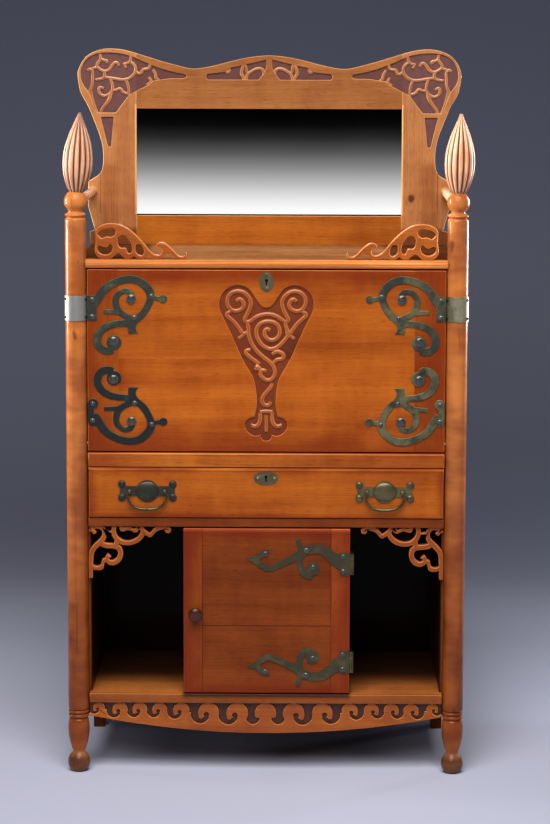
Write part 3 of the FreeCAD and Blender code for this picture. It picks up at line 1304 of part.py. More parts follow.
def mirror_back():
    blank = shaped("frame_blank", frame_blank())
    through = (f"{MIRROR_Y} - 1", f"{REAR_Y} + 1")
    reach = "2 * post_x"
    low = (f"{CROWN_Z} - 1", MIRROR_LOW)
    high = (MIRROR_HIGH, f"{MIRROR_HIGH} + {reach}")
    lap_x = both("mirror_half + mirror_lap")
    lap_z = (f"{MIRROR_LOW} - mirror_lap", f"{MIRROR_HIGH} + mirror_lap")
    glass_y = f"{MIRROR_Y} + glass_depth"
    rebate = box("mirror_rebate", lap_x, (glass_y, f"{REAR_Y} + 1"), lap_z)
    pieces = (
        ("mirror_left_stile", (f"-{reach}", "-mirror_half"), (low[0], high[1])),
        ("mirror_right_stile", ("mirror_half", reach), (low[0], high[1])),
        ("mirror_crest_rail", both("mirror_half"), high),
        ("mirror_bottom_rail", both("mirror_half"), low),
    )
    for label, x, z in pieces:
        limit = box(label + "_limit", x, through, z)
        keep(cut(label + "_cut", common(label + "_blank", blank, limit), rebate), label)
    keep(box("glass", lap_x, (glass_y, f"{glass_y} + glass_thick"), lap_z), "mirror_glass")
    keep(box("glass_back", lap_x, (f"{glass_y} + glass_thick", REAR_Y), lap_z), "mirror_back_panel")


def build():
    post(-1, "left")
    post(1, "right")
    finials()
    gallery_rods()
    side_boards()
    rear_legs()
    case_top()
    case_boards()
    dividers()
    pigeonholes()
    fall()
    drawer()
    pulls()
    door()
    knob()
    strap_hinges()
    post_bands()
    brackets()
    apron()
    mirror_back()


def check():
    """Stops before anything is written if a feature or a finished piece is broken."""
    for item in doc.Objects:
        if {"Invalid", "Error"} & set(item.State):
            raise RuntimeError(f"{item.Name} failed: {item.State}")
    for piece in parts:
        if piece.Shape.isNull() or not piece.Shape.isValid():
            raise RuntimeError(f"{piece.Label} has no valid shape")


build()
doc.recompute()
check()
os.makedirs("parts", exist_ok=True)
for piece in parts:
    piece.Shape.exportStep(f"parts/{piece.Label}.step")
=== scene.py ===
"""Looks of a drop front desk: waxed hardwood, carving, dark bronze mounts and a mirror back."""
import json
import math
from collections import namedtuple

import bmesh
import bpy
from bpy.props import FloatProperty, FloatVectorProperty, PointerProperty
from mathutils import Matrix, Vector


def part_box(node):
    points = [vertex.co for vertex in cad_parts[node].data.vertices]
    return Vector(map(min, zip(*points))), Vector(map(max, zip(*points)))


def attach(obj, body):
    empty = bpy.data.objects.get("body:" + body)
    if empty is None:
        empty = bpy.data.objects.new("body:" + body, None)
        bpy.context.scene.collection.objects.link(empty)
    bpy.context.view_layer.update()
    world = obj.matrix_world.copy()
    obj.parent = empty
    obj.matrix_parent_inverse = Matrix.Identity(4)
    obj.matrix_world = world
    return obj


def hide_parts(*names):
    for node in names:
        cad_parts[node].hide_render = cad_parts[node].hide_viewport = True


bl_info = {
    "name": "Drop front desk",
    "version": (1, 0, 0),
    "blender": (4, 5, 0),
    "location": "View3D > Sidebar > Desk",
    "description": "Dresses the packed drop front desk with wood, carving, bronze and a mirror",
    "category": "Object",
}

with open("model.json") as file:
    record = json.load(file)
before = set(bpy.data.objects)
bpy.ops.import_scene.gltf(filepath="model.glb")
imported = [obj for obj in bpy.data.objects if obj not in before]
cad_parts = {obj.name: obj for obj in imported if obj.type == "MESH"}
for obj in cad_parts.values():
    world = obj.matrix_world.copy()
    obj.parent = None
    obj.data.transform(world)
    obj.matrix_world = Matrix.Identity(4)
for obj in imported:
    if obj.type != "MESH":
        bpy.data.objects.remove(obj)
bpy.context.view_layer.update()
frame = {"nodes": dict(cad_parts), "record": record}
MM = 0.001
BODY_OF = {
    node: body for body, nodes in frame["record"]["behaviour"]["bodies"].items() for node in nodes
}


def tone(red, green, blue):
    """A colour written as a painter's 0 to 255 values, in the linear values that shaders take."""
    def straight(value):
        share = value / 255
        return share / 12.92 if share <= 0.04045 else ((share + 0.055) / 1.055) ** 2.4
    return tuple(straight(value) for value in (red, green, blue))


def shade(label, red, green, blue, use):
    return FloatVectorProperty(
        name=label, description=use, default=tone(red, green, blue), subtype="COLOR", min=0, max=1)


def length(label, millimetres, use):
    return FloatProperty(
        name=label, description=use, default=millimetres * MM, unit="LENGTH", min=0)


class DeskWood(bpy.types.PropertyGroup):
    """Colours of the wood and how far its edges are eased"""
    front_light: shade("Front, light", 190, 100, 27, "Light figure of the fall, drawer front and frets")
    front_dark: shade("Front, dark", 142, 60, 13, "Dark figure of the fall, drawer front and frets")
    red_light: shade("Red board, light", 140, 65, 18, "Light figure of the door, sides and back")
    red_dark: shade("Red board, dark", 98, 39, 8, "Dark figure of the door, sides and back")
    pale_light: shade("Post wood, light", 184, 108, 50, "Light figure of the posts, top and shelf")
    pale_dark: shade("Post wood, dark", 138, 72, 32, "Dark figure of the posts, top and shelf")
    frame_light: shade("Frame wood, light", 178, 114, 60, "Light figure of the mirror frame")
    frame_dark: shade("Frame wood, dark", 138, 78, 38, "Dark figure of the mirror frame")
    rib_light: shade("Finial wood, light", 246, 190, 150, "Light figure of the finials and rods")
    rib_dark: shade("Finial wood, dark", 204, 134, 94, "Dark figure of the finials and rods")
    inner_light: shade("Inner wood, light", 112, 62, 30, "Light figure of the inner boards")
    inner_dark: shade("Inner wood, dark", 70, 36, 18, "Dark figure of the inner boards")
    # Near black that stands for the painted shade inside the compartments.
    shadow: shade("Compartment", 8, 5, 4, "Wood gone dark inside the compartments")
    patina: shade("Patina", 110, 24, 6, "Old polish near the edges of the front boards")
    # The ground colours are the sunk grounds' own darker tone together with painted shade in their recesses.
    ground: shade("Fall ground", 108, 48, 28, "Stained ground behind the carving of the fall")
    apron_ground: shade("Apron ground", 46, 24, 20, "Stained ground behind the waves of the apron")
    frame_ground: shade("Frame ground", 92, 58, 57, "Stained ground of the mirror frame")
    ease: length("Eased edge", 1.2, "Width of the rounding along a board's edges")


class DeskMetal(bpy.types.PropertyGroup):
    """Colours of the metal fittings and the glass"""
    bronze: shade("Bronze", 46, 49, 42, "Dark patina of the mounts and pull plates")
    # The worn tones also carry the painted highlight on the edges of the metal.
    bronze_worn: shade("Worn bronze", 112, 106, 72, "Mounts where hands have rubbed the patina off")
    black_bronze: shade("Black bronze", 24, 31, 29, "Darkest patina of the lower mounts")
    olive: shade("Olive bronze", 62, 57, 36, "Patina of the straps and bails")
    olive_worn: shade("Worn olive bronze", 102, 92, 58, "Rubbed edges of the straps and pulls")
    band_worn: shade("Worn band", 158, 152, 128, "The right post band where the bronze is rubbed")
    steel: shade("Steel", 150, 148, 142, "The left post band, the pins and rubbed studs")
    brass: shade("Brass", 84, 76, 50, "Escutcheons, stays and hinge leaves")
    iron: shade("Iron", 70, 68, 66, "Locks and bolts")
    stud: shade("Stud", 52, 54, 46, "Dark domed screws of the mounts and straps")
    glass: shade("Silvering", 234, 234, 234, "Tint of the mirror")


class DeskStage(bpy.types.PropertyGroup):
    """Floor, backdrop, lamps and camera"""
    floor: shade("Floor", 197, 199, 218, "Pale floor under the desk")
    backdrop: shade("Backdrop", 90, 92, 108, "Backdrop behind the desk")
    camera_place: FloatVectorProperty(
        name="Camera place", description="Where the camera stands", default=(0.0758, -5.6257, 1.6872),
        subtype="XYZ", unit="LENGTH")
    pitch: FloatProperty(
        name="Pitch", description="How far the camera looks down", default=math.radians(7.122),
        unit="ROTATION")
    yaw: FloatProperty(
        name="Yaw", description="How far the camera looks aside", default=math.radians(-0.568),
        unit="ROTATION")
    roll: FloatProperty(
        name="Roll", description="How far the camera leans", default=math.radians(-0.168),
        unit="ROTATION")


class Strand:
    """A value on its way through a shader; sums and products of strands add Math nodes."""

    def __init__(self, finish, socket):
        self.finish = finish
        self.socket = socket

    def _math(self, operation, first, second):
        return self.finish.node("ShaderNodeMath", {"operation": operation}, {0: first, 1: second})

    def __add__(self, other):
        return self._math("ADD", self, other)

    __radd__ = __add__

    def __sub__(self, other):
        return self._math("SUBTRACT", self, other)

    def __rsub__(self, other):
        return self._math("SUBTRACT", other, self)

    def __mul__(self, other):
        return self._math("MULTIPLY", self, other)

    __rmul__ = __mul__

    def __truediv__(self, other):
        return self._math("DIVIDE", self, other)

    def lower(self, other):
        return self._math("MINIMUM", self, other)

    def higher(self, other):
        return self._math("MAXIMUM", self, other)

    def size(self):
        return self._math("ABSOLUTE", self, 0)


# Sockets of the Mix node for colours, which share their names with its other kinds of value.
MIX_SHARE, MIX_FIRST, MIX_SECOND, MIX_RESULT = 0, 6, 7, 2


class Finish:
    """One material, built from nodes on Object coordinates, or the nodes of a world."""

    def __init__(self, name, tree=None):
        self.end = "ShaderNodeOutputWorld" if tree else "ShaderNodeOutputMaterial"
        if not tree:
            self.material = bpy.data.materials.new(name)
            self.material.use_nodes = True
            tree = self.material.node_tree
        self.tree = tree
        self.tree.nodes.clear()

    def node(self, kind, settings=None, sockets=None, out=0):
        made = self.tree.nodes.new(kind)
        for key, value in (settings or {}).items():
            setattr(made, key, value)
        for key, value in (sockets or {}).items():
            socket = made.inputs[key]
            if isinstance(value, Strand):
                self.tree.links.new(value.socket, socket)
            elif socket.type == "RGBA":
                socket.default_value = (*tuple(value)[:3], 1)
            else:
                socket.default_value = value
        return Strand(self, made.outputs[out])

    def ramp(self, share, stops):
        """A grey that follows stops of (place, level)."""
        made = self.tree.nodes.new("ShaderNodeValToRGB")
        elements = made.color_ramp.elements
        while len(elements) < len(stops):
            elements.new(0.5)
        for stop, (place, level) in zip(elements, stops):
            stop.position = place
            stop.color = (level, level, level, 1)
        self.tree.links.new(share.socket, made.inputs[0])
        return Strand(self, made.outputs[0])

    def parts(self, vector):
        return [
            self.node("ShaderNodeSeparateXYZ", sockets={0: vector}, out=axis) for axis in range(3)]

    def place(self):
        """The three Object coordinates, in metres."""
        return self.parts(self.node("ShaderNodeTexCoord", out="Object"))

    def normal(self):
        """The surface normal on the three axes of its own object."""
        return self.parts(self.node("ShaderNodeTexCoord", out="Normal"))

    def vector(self, x, y, z):
        return self.node("ShaderNodeCombineXYZ", sockets={0: x, 1: y, 2: z})

    def noise(self, vector, scale=1.0, detail=2.0, rough=0.5):
        return self.node("ShaderNodeTexNoise", sockets={
            "Vector": vector, "Scale": scale, "Detail": detail, "Roughness": rough})

    def rise(self, value, low, high):
        """0 below low, 1 above high and a smooth rise between them."""
        return self.node("ShaderNodeMapRange", {"interpolation_type": "SMOOTHSTEP"}, {
            "Value": value, "From Min": low, "From Max": high})

    def drop(self, value, low, high):
        """1 below low, 0 above high and a smooth fall between them."""
        return 1 - self.rise(value, low, high)

    def right_half(self, x):
        """0 on the left half of the desk and 1 on the right half."""
        return self.rise(x, -0.05, 0.05)

    def reach(self, across, up):
        """How far a point lies from an axis that it is across and up from."""
        return self.node("ShaderNodeMath", {"operation": "SQRT"}, {0: across * across + up * up})

    def inside(self, place, box, soft):
        """1 inside a box of (low, high) for x, y and z, falling to 0 at its soft faces."""
        share = 1.0
        for at, span in zip(place, box):
            if span:
                share = share * self.rise(at, span[0] - soft, span[0] + soft) * self.drop(
                    at, span[1] - soft, span[1] + soft)
        return share

    def blend(self, share, first, second, way="MIX"):
        return self.node("ShaderNodeMix", {"data_type": "RGBA", "blend_type": way}, {
            MIX_SHARE: share, MIX_FIRST: first, MIX_SECOND: second}, MIX_RESULT)

    def deepen(self, share, colour, by):
        return self.blend(share, colour, by, "MULTIPLY")

    def close(self, sockets, height=None, depth=0.0, strength=0.0):
        """Ends the material in one surface shader, with a bump where a height is given."""
        if height is not None:
            sockets["Normal"] = self.node("ShaderNodeBump", sockets={
                "Strength": strength, "Distance": depth, "Height": height})
        self.end_in(self.node("ShaderNodeBsdfPrincipled", sockets=sockets))
        return self.material

    def end_in(self, surface):
        self.tree.links.new(surface.socket, self.tree.nodes.new(self.end).inputs[0])


# Which axis runs along the grain, which across it and which into the board.
GRAIN = {"x": (0, 2, 1), "y": (1, 0, 2), "z": (2, 0, 1)}
# How much of each figure shows, between which sums it turns from dark to light, and the polish.
Figure = namedtuple("Figure", "close bands lines mottle fleck pores low high coat_rough bump")
FLAT = Figure(
    close=1.0, bands=0.5, lines=0.3, mottle=0.42, fleck=0.2, pores=0.55, low=0.44, high=0.95,
    coat_rough=0.16, bump=0.35)
TURNED = Figure(
    close=0.25, bands=0.08, lines=0.0, mottle=0.8, fleck=0.4, pores=0.12, low=0.5, high=0.8,
    coat_rough=0.1, bump=0.0)
PORE = (0.42, 0.3, 0.22)
SMALL_KNOT = (0.3, 0.2, 0.16)
STREAK = (0.45, 0.32, 0.24)
KNOT = (0.16, 0.1, 0.09)
# Near black painted as the shade inside keyholes.
KEYHOLE_SHADE = (0.02, 0.015, 0.01)
SCUFFED_FOOT = (0.22, 0.2, 0.24)
SUNK_SKIN = (0.8 * MM, 1.6 * MM)
seeds = iter(range(1, 1000))


def age_and_painted_light(finish, place, colour, mottle, rubbed=None, edges=None, ground=None, stain="ground",
         knots=(), tints=(), holes=(), inside=None, fade=None, feet=False):
    """What hands and dirt have done to a wood, and the light and shade painted onto it.

    rubbed is the tone of its eased edges, for their wear together with a painted
    highlight. edges is (left, right, low, high, reach) of a front that darkens towards its rim.
    ground is (face, floor) in y, between which carving goes over into its stain: the ground's
    own darker tone together with painted shade in the recess. knots are (x, z, radius). tints are
    (box, soft, factor) of places with painted shade, a painted highlight or sheen, or a changed tone.
    holes are (x, z) of keyholes, whose wood is painted near black as the shade inside them. inside
    is the |x| under which a board gets painted shade, and fade is (near, far) in y, over which
    painted shade darkens it towards the back. feet scuffs ball feet.
    """
    palette = bpy.context.scene.desk_wood
    x, y, z = place
    cloud = mottle - 0.5
    if edges:
        left, right, low, high, reach = edges
        rim = ((x - left).lower(right - x)).lower(((z - low) * 1.5).lower((high - z) * 1.5))
        near = finish.drop(rim + cloud * reach * 1.1, 0.0, reach)
        colour = finish.blend(near * 0.68, colour, palette.patina)
    # Eased edges turn lighter: their wear together with a painted highlight.
    if rubbed:
        facing = [part.size() for part in finish.normal()]
        flat_face = facing[0].higher(facing[1]).higher(facing[2])
        edge = finish.drop(flat_face, 0.84, 0.985) * (0.4 + mottle * 0.8)
        colour = finish.blend(edge * 0.8, colour, rubbed)
    # The sunk ground takes its own darker tone together with painted shade, darker towards the floor.
    if ground:
        face, floor = ground
        sunk = finish.rise(y, face + 0.2 * (floor - face), floor)
        sunk = sunk * finish.drop(y, *(floor + skin for skin in SUNK_SKIN))
        grime_and_shade = finish.noise(finish.vector(x * 90, y * 90, z * 90), 1, 3)
        colour = finish.blend(sunk * (0.74 + grime_and_shade * 0.3), colour, getattr(palette, stain))
    for middle, height, radius in knots:
        away = finish.reach(x - middle, (z - height) * 0.8) + cloud * radius
        colour = finish.deepen(
            finish.drop(away, radius * 0.5, radius * 1.3) * 0.85, colour, KNOT)
    # Tints hold painted shade, painted highlights and sheen, and changes of tone.
    for box, soft, factor in tints:
        colour = finish.deepen(finish.inside(place, box, soft), colour, factor)
    # The wood round a keyhole is painted near black as the shade inside it.
    for middle, height in holes:
        away = (x - middle).size().higher((z - height).size())
        colour = finish.deepen(finish.drop(away, 0.011, 0.013), colour, KEYHOLE_SHADE)
    # Painted shade on the inner faces of the side boards.
    if inside:
        inner_face_shade = finish.drop(x.size(), inside - 0.001, inside)
        colour = finish.blend(inner_face_shade * 0.9, colour, palette.shadow)
    # Painted shade that darkens a board towards the back.
    if fade:
        compartment_shade = finish.rise(y + cloud * 0.03, *fade)
        colour = finish.blend(compartment_shade * 0.94, colour, palette.shadow)
    if feet:
        scuffed = finish.drop(z + cloud * 0.02, 0.03, 0.056)
        colour = finish.deepen(scuffed * 0.85, colour, SCUFFED_FOOT)
    return colour


def wood(name, grain, kind, gloss=0.05, sheen=0.1, lift=1.0, worn=1.7, turned=False, **marks):
    """Waxed wood with its grain along one axis.

    kind names its two tones and lift lightens both, gloss is the wax on it, sheen the strength of
    reflections, worn how much lighter the eased edges are, for their wear together
    with a painted highlight, and marks are the marks of age and of painted light and shade.
    """
    seed = next(seeds) * 1.37
    light, dark = (
        tuple(min(1, lift * part) for part in getattr(bpy.context.scene.desk_wood, kind + end))
        for end in ("_light", "_dark"))
    show = TURNED if turned else FLAT
    finish = Finish(name)
    place = finish.place()
    along, across, depth = (place[axis] for axis in GRAIN[grain])
    run = along + seed
    sway = finish.noise(finish.vector(run * 1.3, across * 4 + seed, depth * 4), 1, 2) - 0.5
    side = across + sway * 0.05 + seed * 0.7

    def grained(length_scale, width_scale, depth_scale, detail, rough=0.5):
        return finish.noise(
            finish.vector(run * length_scale, side * width_scale, depth * depth_scale),
            1, detail, rough)
    bands = grained(0.8, 24 * show.close, 17 * show.close, 4, 0.6)
    lines = grained(6, 260, 180, 3, 0.6)
    pores = finish.rise(grained(42, 760, 640, 1), 0.6, 0.7)
    mottle = grained(6, 9, 9, 3)
    fleck = grained(38, 13, 13, 2)
    figure = finish.rise(
        bands * show.bands + lines * show.lines + mottle * show.mottle + fleck * show.fleck,
        show.low, show.high)
    colour = finish.blend(figure, dark, light)
    colour = finish.deepen(pores * show.pores, colour, PORE)
    if turned:
        knot = finish.rise(grained(14, 30, 30, 2), 0.69, 0.76)
        colour = finish.deepen(knot * 0.7, colour, SMALL_KNOT)
        streak = finish.rise(grained(5, 150, 150, 2), 0.6, 0.74)
        colour = finish.deepen(streak * 0.5, colour, STREAK)
        roughness = 0.24 + mottle * 0.1
    else:
        # Eased edges painted lighter: their wear together with a painted highlight.
        marks["rubbed"] = tuple(min(1, part * worn + 0.03) for part in light)
        roughness = 0.36 + lines * 0.12 + pores * 0.2 - mottle * 0.08
    return finish.close({
        "Base Color": age_and_painted_light(finish, place, colour, mottle, **marks), "Roughness": roughness,
        "Specular IOR Level": sheen, "Coat Weight": gloss, "Coat Roughness": show.coat_rough,
    }, height=lines * 0.5 - pores, depth=0.2 * MM, strength=show.bump)


def metal(name, base, worn, shine=0.45, rough=0.42, rub=0.5, right_rub=0.0, wax=0.0):
    """Old metal: dark patina in blotches, lighter edges for wear and a painted highlight, and fine
    scratches.

    rub is how much of it is rubbed, right_rub how much more so on the right half of the desk, and
    wax adds a clear shine.
    """
    seed = next(seeds)
    finish = Finish(name)
    x, y, z = finish.place()
    at = finish.vector(x + seed, y, z)
    blotch = finish.noise(at, 24, 4, 0.66)
    fine = finish.noise(at, 240, 3, 0.6)
    scratch = finish.noise(finish.vector(x * 120 + z * 500, y * 300, z * 60 - x * 260), 1, 2)
    # Edges turn to the lighter tone: their wear together with a painted highlight.
    edge = finish.drop(finish.normal()[1].size(), 0.5, 0.985)
    share = blotch + fine * 0.3 + edge * 0.5
    if right_rub:
        share = share + finish.right_half(x) * right_rub
    share = finish.rise(share, 0.72 - 0.2 * rub, 1.1 - 0.2 * rub)
    colour = finish.blend(share, base, worn)
    colour = finish.deepen(finish.rise(fine, 0.56, 0.72) * 0.5, colour, (0.45, 0.5, 0.45))
    return finish.close({
        "Base Color": colour, "Metallic": shine,
        "Roughness": rough + fine * 0.22 - share * 0.12, "Coat Weight": wax, "Coat Roughness": 0.12,
    }, height=fine + scratch * 0.4, depth=0.3 * MM, strength=0.35)


# The middle of the right post, and the mean lean of the finials from the height of their feet.
POST_X, POST_Y = 0.424, -0.1795
FINIAL_FOOT, FINIAL_LEAN = 1.32, 0.033


def ribbed_wood(name):
    """The finials: pale ribs with painted shade in the grooves between them, darker towards the foot, the
    right finial lighter.
    """
    palette = bpy.context.scene.desk_wood
    finish = Finish(name)
    x, y, z = finish.place()
    nx, ny, _ = finish.normal()
    side = finish.rise(x, -0.01, 0.01) * 2 - 1
    over = x - side * POST_X - (z - FINIAL_FOOT) * FINIAL_LEAN
    back = y - POST_Y
    outward = (nx * over + ny * back) / (finish.reach(over, back) + 0.0005)
    mottle = finish.noise(finish.vector(x * 30, y * 30, z * 9), 1, 3)
    lines = finish.noise(finish.vector(x * 420, y * 420, z * 12), 1, 3)
    colour = finish.blend(
        finish.rise(mottle + lines * 0.3, 0.45, 0.8), palette.rib_dark, palette.rib_light)
    # Painted shade in the grooves between the ribs.
    groove_shade = finish.drop(outward + (mottle - 0.5) * 0.1, 0.58, 0.93)
    colour = finish.deepen(groove_shade * 0.95, colour, (0.22, 0.13, 0.09))
    low = finish.drop(z, 1.33, 1.40)
    colour = finish.deepen(low * 0.45, colour, (0.5, 0.38, 0.3))
    colour = finish.deepen(finish.right_half(x), colour, (1.22, 1.22, 1.18))
    return finish.close({
        "Base Color": colour, "Roughness": 0.34 + mottle * 0.1, "Specular IOR Level": 0.45,
        "Coat Weight": 0.2, "Coat Roughness": 0.18,
    }, height=lines, depth=0.1 * MM, strength=0.1)


def band_metal(name):
    """The post bands: bright steel on the left post, bronze on the right, with dark nail heads."""
    metals = bpy.context.scene.desk_metal
    finish = Finish(name)
    x, y, z = finish.place()
    cloud = finish.noise(finish.vector(x, y, z), 38, 4, 0.6)
    fine = finish.noise(finish.vector(x * 60, y * 60, z * 420), 1, 3)
    bright = finish.rise(cloud, 0.35, 0.7)
    steel = finish.blend(bright, (0.3, 0.29, 0.27), metals.steel)
    bronze = finish.blend(bright, metals.bronze_worn, metals.band_worn)
    colour = finish.blend(finish.right_half(x), steel, bronze)
    nail = finish.rise(finish.reach(x.size() - POST_X, y - POST_Y), 0.0255, 0.0258)
    colour = finish.blend(nail, colour, (0.015, 0.014, 0.013))
    return finish.close({
        "Base Color": colour, "Metallic": 0.6, "Roughness": 0.26 + fine * 0.2 + cloud * 0.1,
    }, height=fine, depth=0.2 * MM, strength=0.3)


GLASS_LEAN = math.radians(2.95)


def silvered(name):
    """Old looking glass, leaning back a little: bright, with a faint haze and a few specks."""
    finish = Finish(name)
    x, y, z = finish.place()
    at = finish.vector(x, y, z)
    haze = finish.noise(at, 9, 3)
    speck = finish.rise(finish.noise(at, 320, 1), 0.79, 0.84)
    colour = finish.deepen(speck * 0.4, bpy.context.scene.desk_metal.glass, (0.4, 0.4, 0.38))
    colour = finish.deepen(finish.drop(z, 1.2408, 1.2416), colour, (0.01, 0.012, 0.016))
    return finish.close({
        "Base Color": colour, "Metallic": 1.0, "Roughness": 0.015 + haze * 0.02 + speck * 0.08,
    }, height=0 - z, depth=math.tan(GLASS_LEAN), strength=1.0)


WELD = 1e-5


def clear_selection():
    if bpy.context.object and bpy.context.object.mode != "OBJECT":
        bpy.ops.object.mode_set(mode="OBJECT")
    bpy.ops.object.select_all(action="DESELECT")


def take_up(piece):
    """Makes one piece the only selected and active one."""
    clear_selection()
    piece.select_set(True)
    bpy.context.view_layer.objects.active = piece


def smooth(piece, degrees):
    take_up(piece)
    bpy.ops.object.shade_smooth_by_angle(angle=math.radians(degrees))


def open_mesh():
    """Goes into the mesh of the active piece, all of it selected."""
    bpy.ops.object.mode_set(mode="EDIT")
    bpy.ops.mesh.select_all(action="SELECT")


def close_mesh():
    """Turns all faces outward and comes out of the mesh."""
    bpy.ops.mesh.select_all(action="SELECT")
    bpy.ops.mesh.normals_make_consistent(inside=False)
    bpy.ops.object.mode_set(mode="OBJECT")


def fix_place():
    bpy.ops.object.transform_apply(location=True, rotation=True, scale=True)


def add_on(piece, node, material):
    """Paints a finished piece that sits on a CAD node and moves with it."""
    piece.data.materials.clear()
    piece.data.materials.append(material)
    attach(piece, BODY_OF[node])


def settle(piece, node, material):
    """Paints a finished piece and lets it stand for its CAD node."""
    add_on(piece, node, material)
    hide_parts(node)


def dress(piece, node, grain, kind, **looks):
    """Lets a wooden piece stand for its CAD node, in a wood of its own."""
    settle(piece, node, wood(node + "_wood", grain, kind, **looks))


def paint(node, material):
    """A CAD node that stays gets its finish on its own material slots."""
    shown = frame["nodes"][node]
    if not shown.material_slots:
        raise RuntimeError("no material slot on " + node)
    for slot in shown.material_slots:
        slot.material = material


def worked_copy(node, ease, where, segments=2, sharp=35):
    """A merged copy of a CAD node with its sharp edges rounded over, where a test picks them."""
    piece = bpy.data.objects.new("worked_" + node, frame["nodes"][node].data.copy())
    bpy.context.scene.collection.objects.link(piece)
    take_up(piece)
    bpy.ops.object.mode_set(mode="EDIT")
    bpy.ops.mesh.select_mode(type="EDGE")
    bpy.ops.mesh.select_all(action="SELECT")
    bpy.ops.mesh.remove_doubles(threshold=WELD)
    bpy.ops.mesh.dissolve_limited(angle_limit=math.radians(1.0))
    if ease:
        bpy.ops.mesh.select_all(action="DESELECT")
        bpy.ops.mesh.edges_select_sharp(sharpness=math.radians(sharp))
        net = bmesh.from_edit_mesh(piece.data)
        for edge in net.edges:
            if edge.select and not where((edge.verts[0].co + edge.verts[1].co) / 2):
                edge.select_set(False)
        net.select_flush(False)
        bmesh.update_edit_mesh(piece.data)
        bpy.ops.mesh.bevel(
            offset=ease, segments=segments, affect="EDGES", clamp_overlap=False, loop_slide=False)
    bpy.ops.object.mode_set(mode="OBJECT")
    smooth(piece, 38)
    if ease:
        # Large faces rule the shading, so that flats stay flat beside rounded edges.
        piece.modifiers.new("flats", "WEIGHTED_NORMAL").keep_sharp = True
        bpy.ops.object.modifier_apply(modifier="flats")
    return piece


def strands(name, runs, steps=5):
    """Round strands along drawn runs of (x, y, z, radius) in millimetres."""
    clear_selection()
    bpy.ops.curve.primitive_bezier_curve_add()
    line = bpy.context.object
    line.name = name
    line.data.splines.clear()
    for run in runs:
        spline = line.data.splines.new("BEZIER")
        spline.bezier_points.add(len(run) - 1)
        for point, (x, y, z, radius) in zip(spline.bezier_points, run):
            point.co = (x * MM, y * MM, z * MM)
            point.handle_left_type = point.handle_right_type = "AUTO"
            point.radius = radius
    line.data.dimensions = "3D"
    line.data.bevel_depth = MM
    line.data.bevel_resolution = 3
    line.data.resolution_u = steps
    line.data.use_fill_caps = True
    line.data.twist_mode = "MINIMUM"
    bpy.ops.object.convert(target="MESH")
    line = bpy.context.object
    open_mesh()
    bpy.ops.mesh.remove_doubles(threshold=WELD)
    close_mesh()
    fix_place()
    smooth(line, 60)
    return line


END_TAPER = 0.85


def carve(name, node, grain, kind, runs, carved, width, sink, **looks):
    """Carved stems in the sunk ground of a node, along runs of (x, z, swell) in millimetres.

    carved is (face, floor) in y, and sink is how far a stem's middle lies under that floor.
    """
    face, floor = carved
    laid = []
    for run in runs:
        ends = (0, len(run) - 1)
        laid.append([
            (x, floor / MM + sink, z,
             width / 2 * (swell[0] if swell else 1) * (END_TAPER if step in ends else 1))
            for step, (x, z, *swell) in enumerate(run)])
    # The stems darken towards the ground: the sunk tone together with painted shade.
    add_on(strands(name, laid), node, wood(
        name + "_wood", grain, kind, ground=(face + MM, floor), **looks))


def lathe(name, outline, place, forward=False, segments=48):
    """Turns an outline of (height, radius) in millimetres; it stands up, or forward from a place."""
    clear_selection()
    base, radius = outline[0]
    bpy.ops.mesh.primitive_circle_add(vertices=segments, radius=radius * MM, fill_type="NGON")
    piece = bpy.context.object
    piece.name = name
    open_mesh()
    height = base
    for up, out in outline[1:]:
        bpy.ops.mesh.extrude_region_move(
            TRANSFORM_OT_translate={"value": (0, 0, (up - height) * MM)})
        bpy.ops.transform.resize(
            value=(out / radius, out / radius, 1), center_override=(0, 0, (up - base) * MM))
        height, radius = up, out
    close_mesh()
    piece.rotation_euler = (math.pi / 2 if forward else 0, 0, 0)
    piece.location = place
    fix_place()
    smooth(piece, 50)
    return piece


def joined(name, pieces):
    clear_selection()
    for piece in pieces:
        piece.select_set(True)
    bpy.context.view_layer.objects.active = pieces[0]
    bpy.ops.object.join()
    pieces[0].name = name
    return pieces[0]


def mirrored(runs):
    return [[(-point[0], *point[1:]) for point in run] for run in runs]


def moved(runs, right):
    return [[(point[0] + right, *point[1:]) for point in run] for run in runs]


def middle_of(node):
    """The middle of a node seen from the front, as (x, z)."""
    low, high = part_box(node)
    return (low.x + high.x) / 2, (low.z + high.z) / 2


# Runs of the carving on the fall, as (x, z) in millimetres, with a swell where a stem is thicker.
VOLUTE = [
    (-65.7, 1076.6), (-58.2, 1081.6), (-49.9, 1074.4), (-50.2, 1063.8), (-57.4, 1057.8),
    (-69.4, 1055.6), (-79.9, 1061.6), (-85.6, 1075.9), (-81.4, 1090.2), (-67.9, 1099.2),
    (-52.9, 1098.4), (-40.2, 1089.4), (-33.2, 1075.9), (-35.7, 1060.8), (-42.5, 1045.8),
    (-47, 1035.3), (-41, 1030)]
ARCH = [
    (-42.5, 1030.8), (-33.5, 1033), (-21.5, 1042), (-6.5, 1047.3), (6.9, 1048.4), (21.9, 1045.1),
    (33.9, 1037.5), (42.8, 1032.3)]
EYE = [
    (42.8, 1032.3), (45.8, 1018.7), (50.3, 1005.2), (46.6, 996.2), (39.1, 987.2), (27.1, 975.9),
    (12.9, 970.6), (-2.1, 975.2), (-14, 987.2), (-20.3, 1003.7), (-17.8, 1020.3), (-6.5, 1030),
    (6.9, 1032.3), (21.1, 1028.5), (30.1, 1017.2), (30.1, 1002.2), (21.1, 992.4), (9.9, 990.9),
    (0.2, 997.7), (-2.8, 1006.7), (2.4, 1015), (9.9, 1012)]
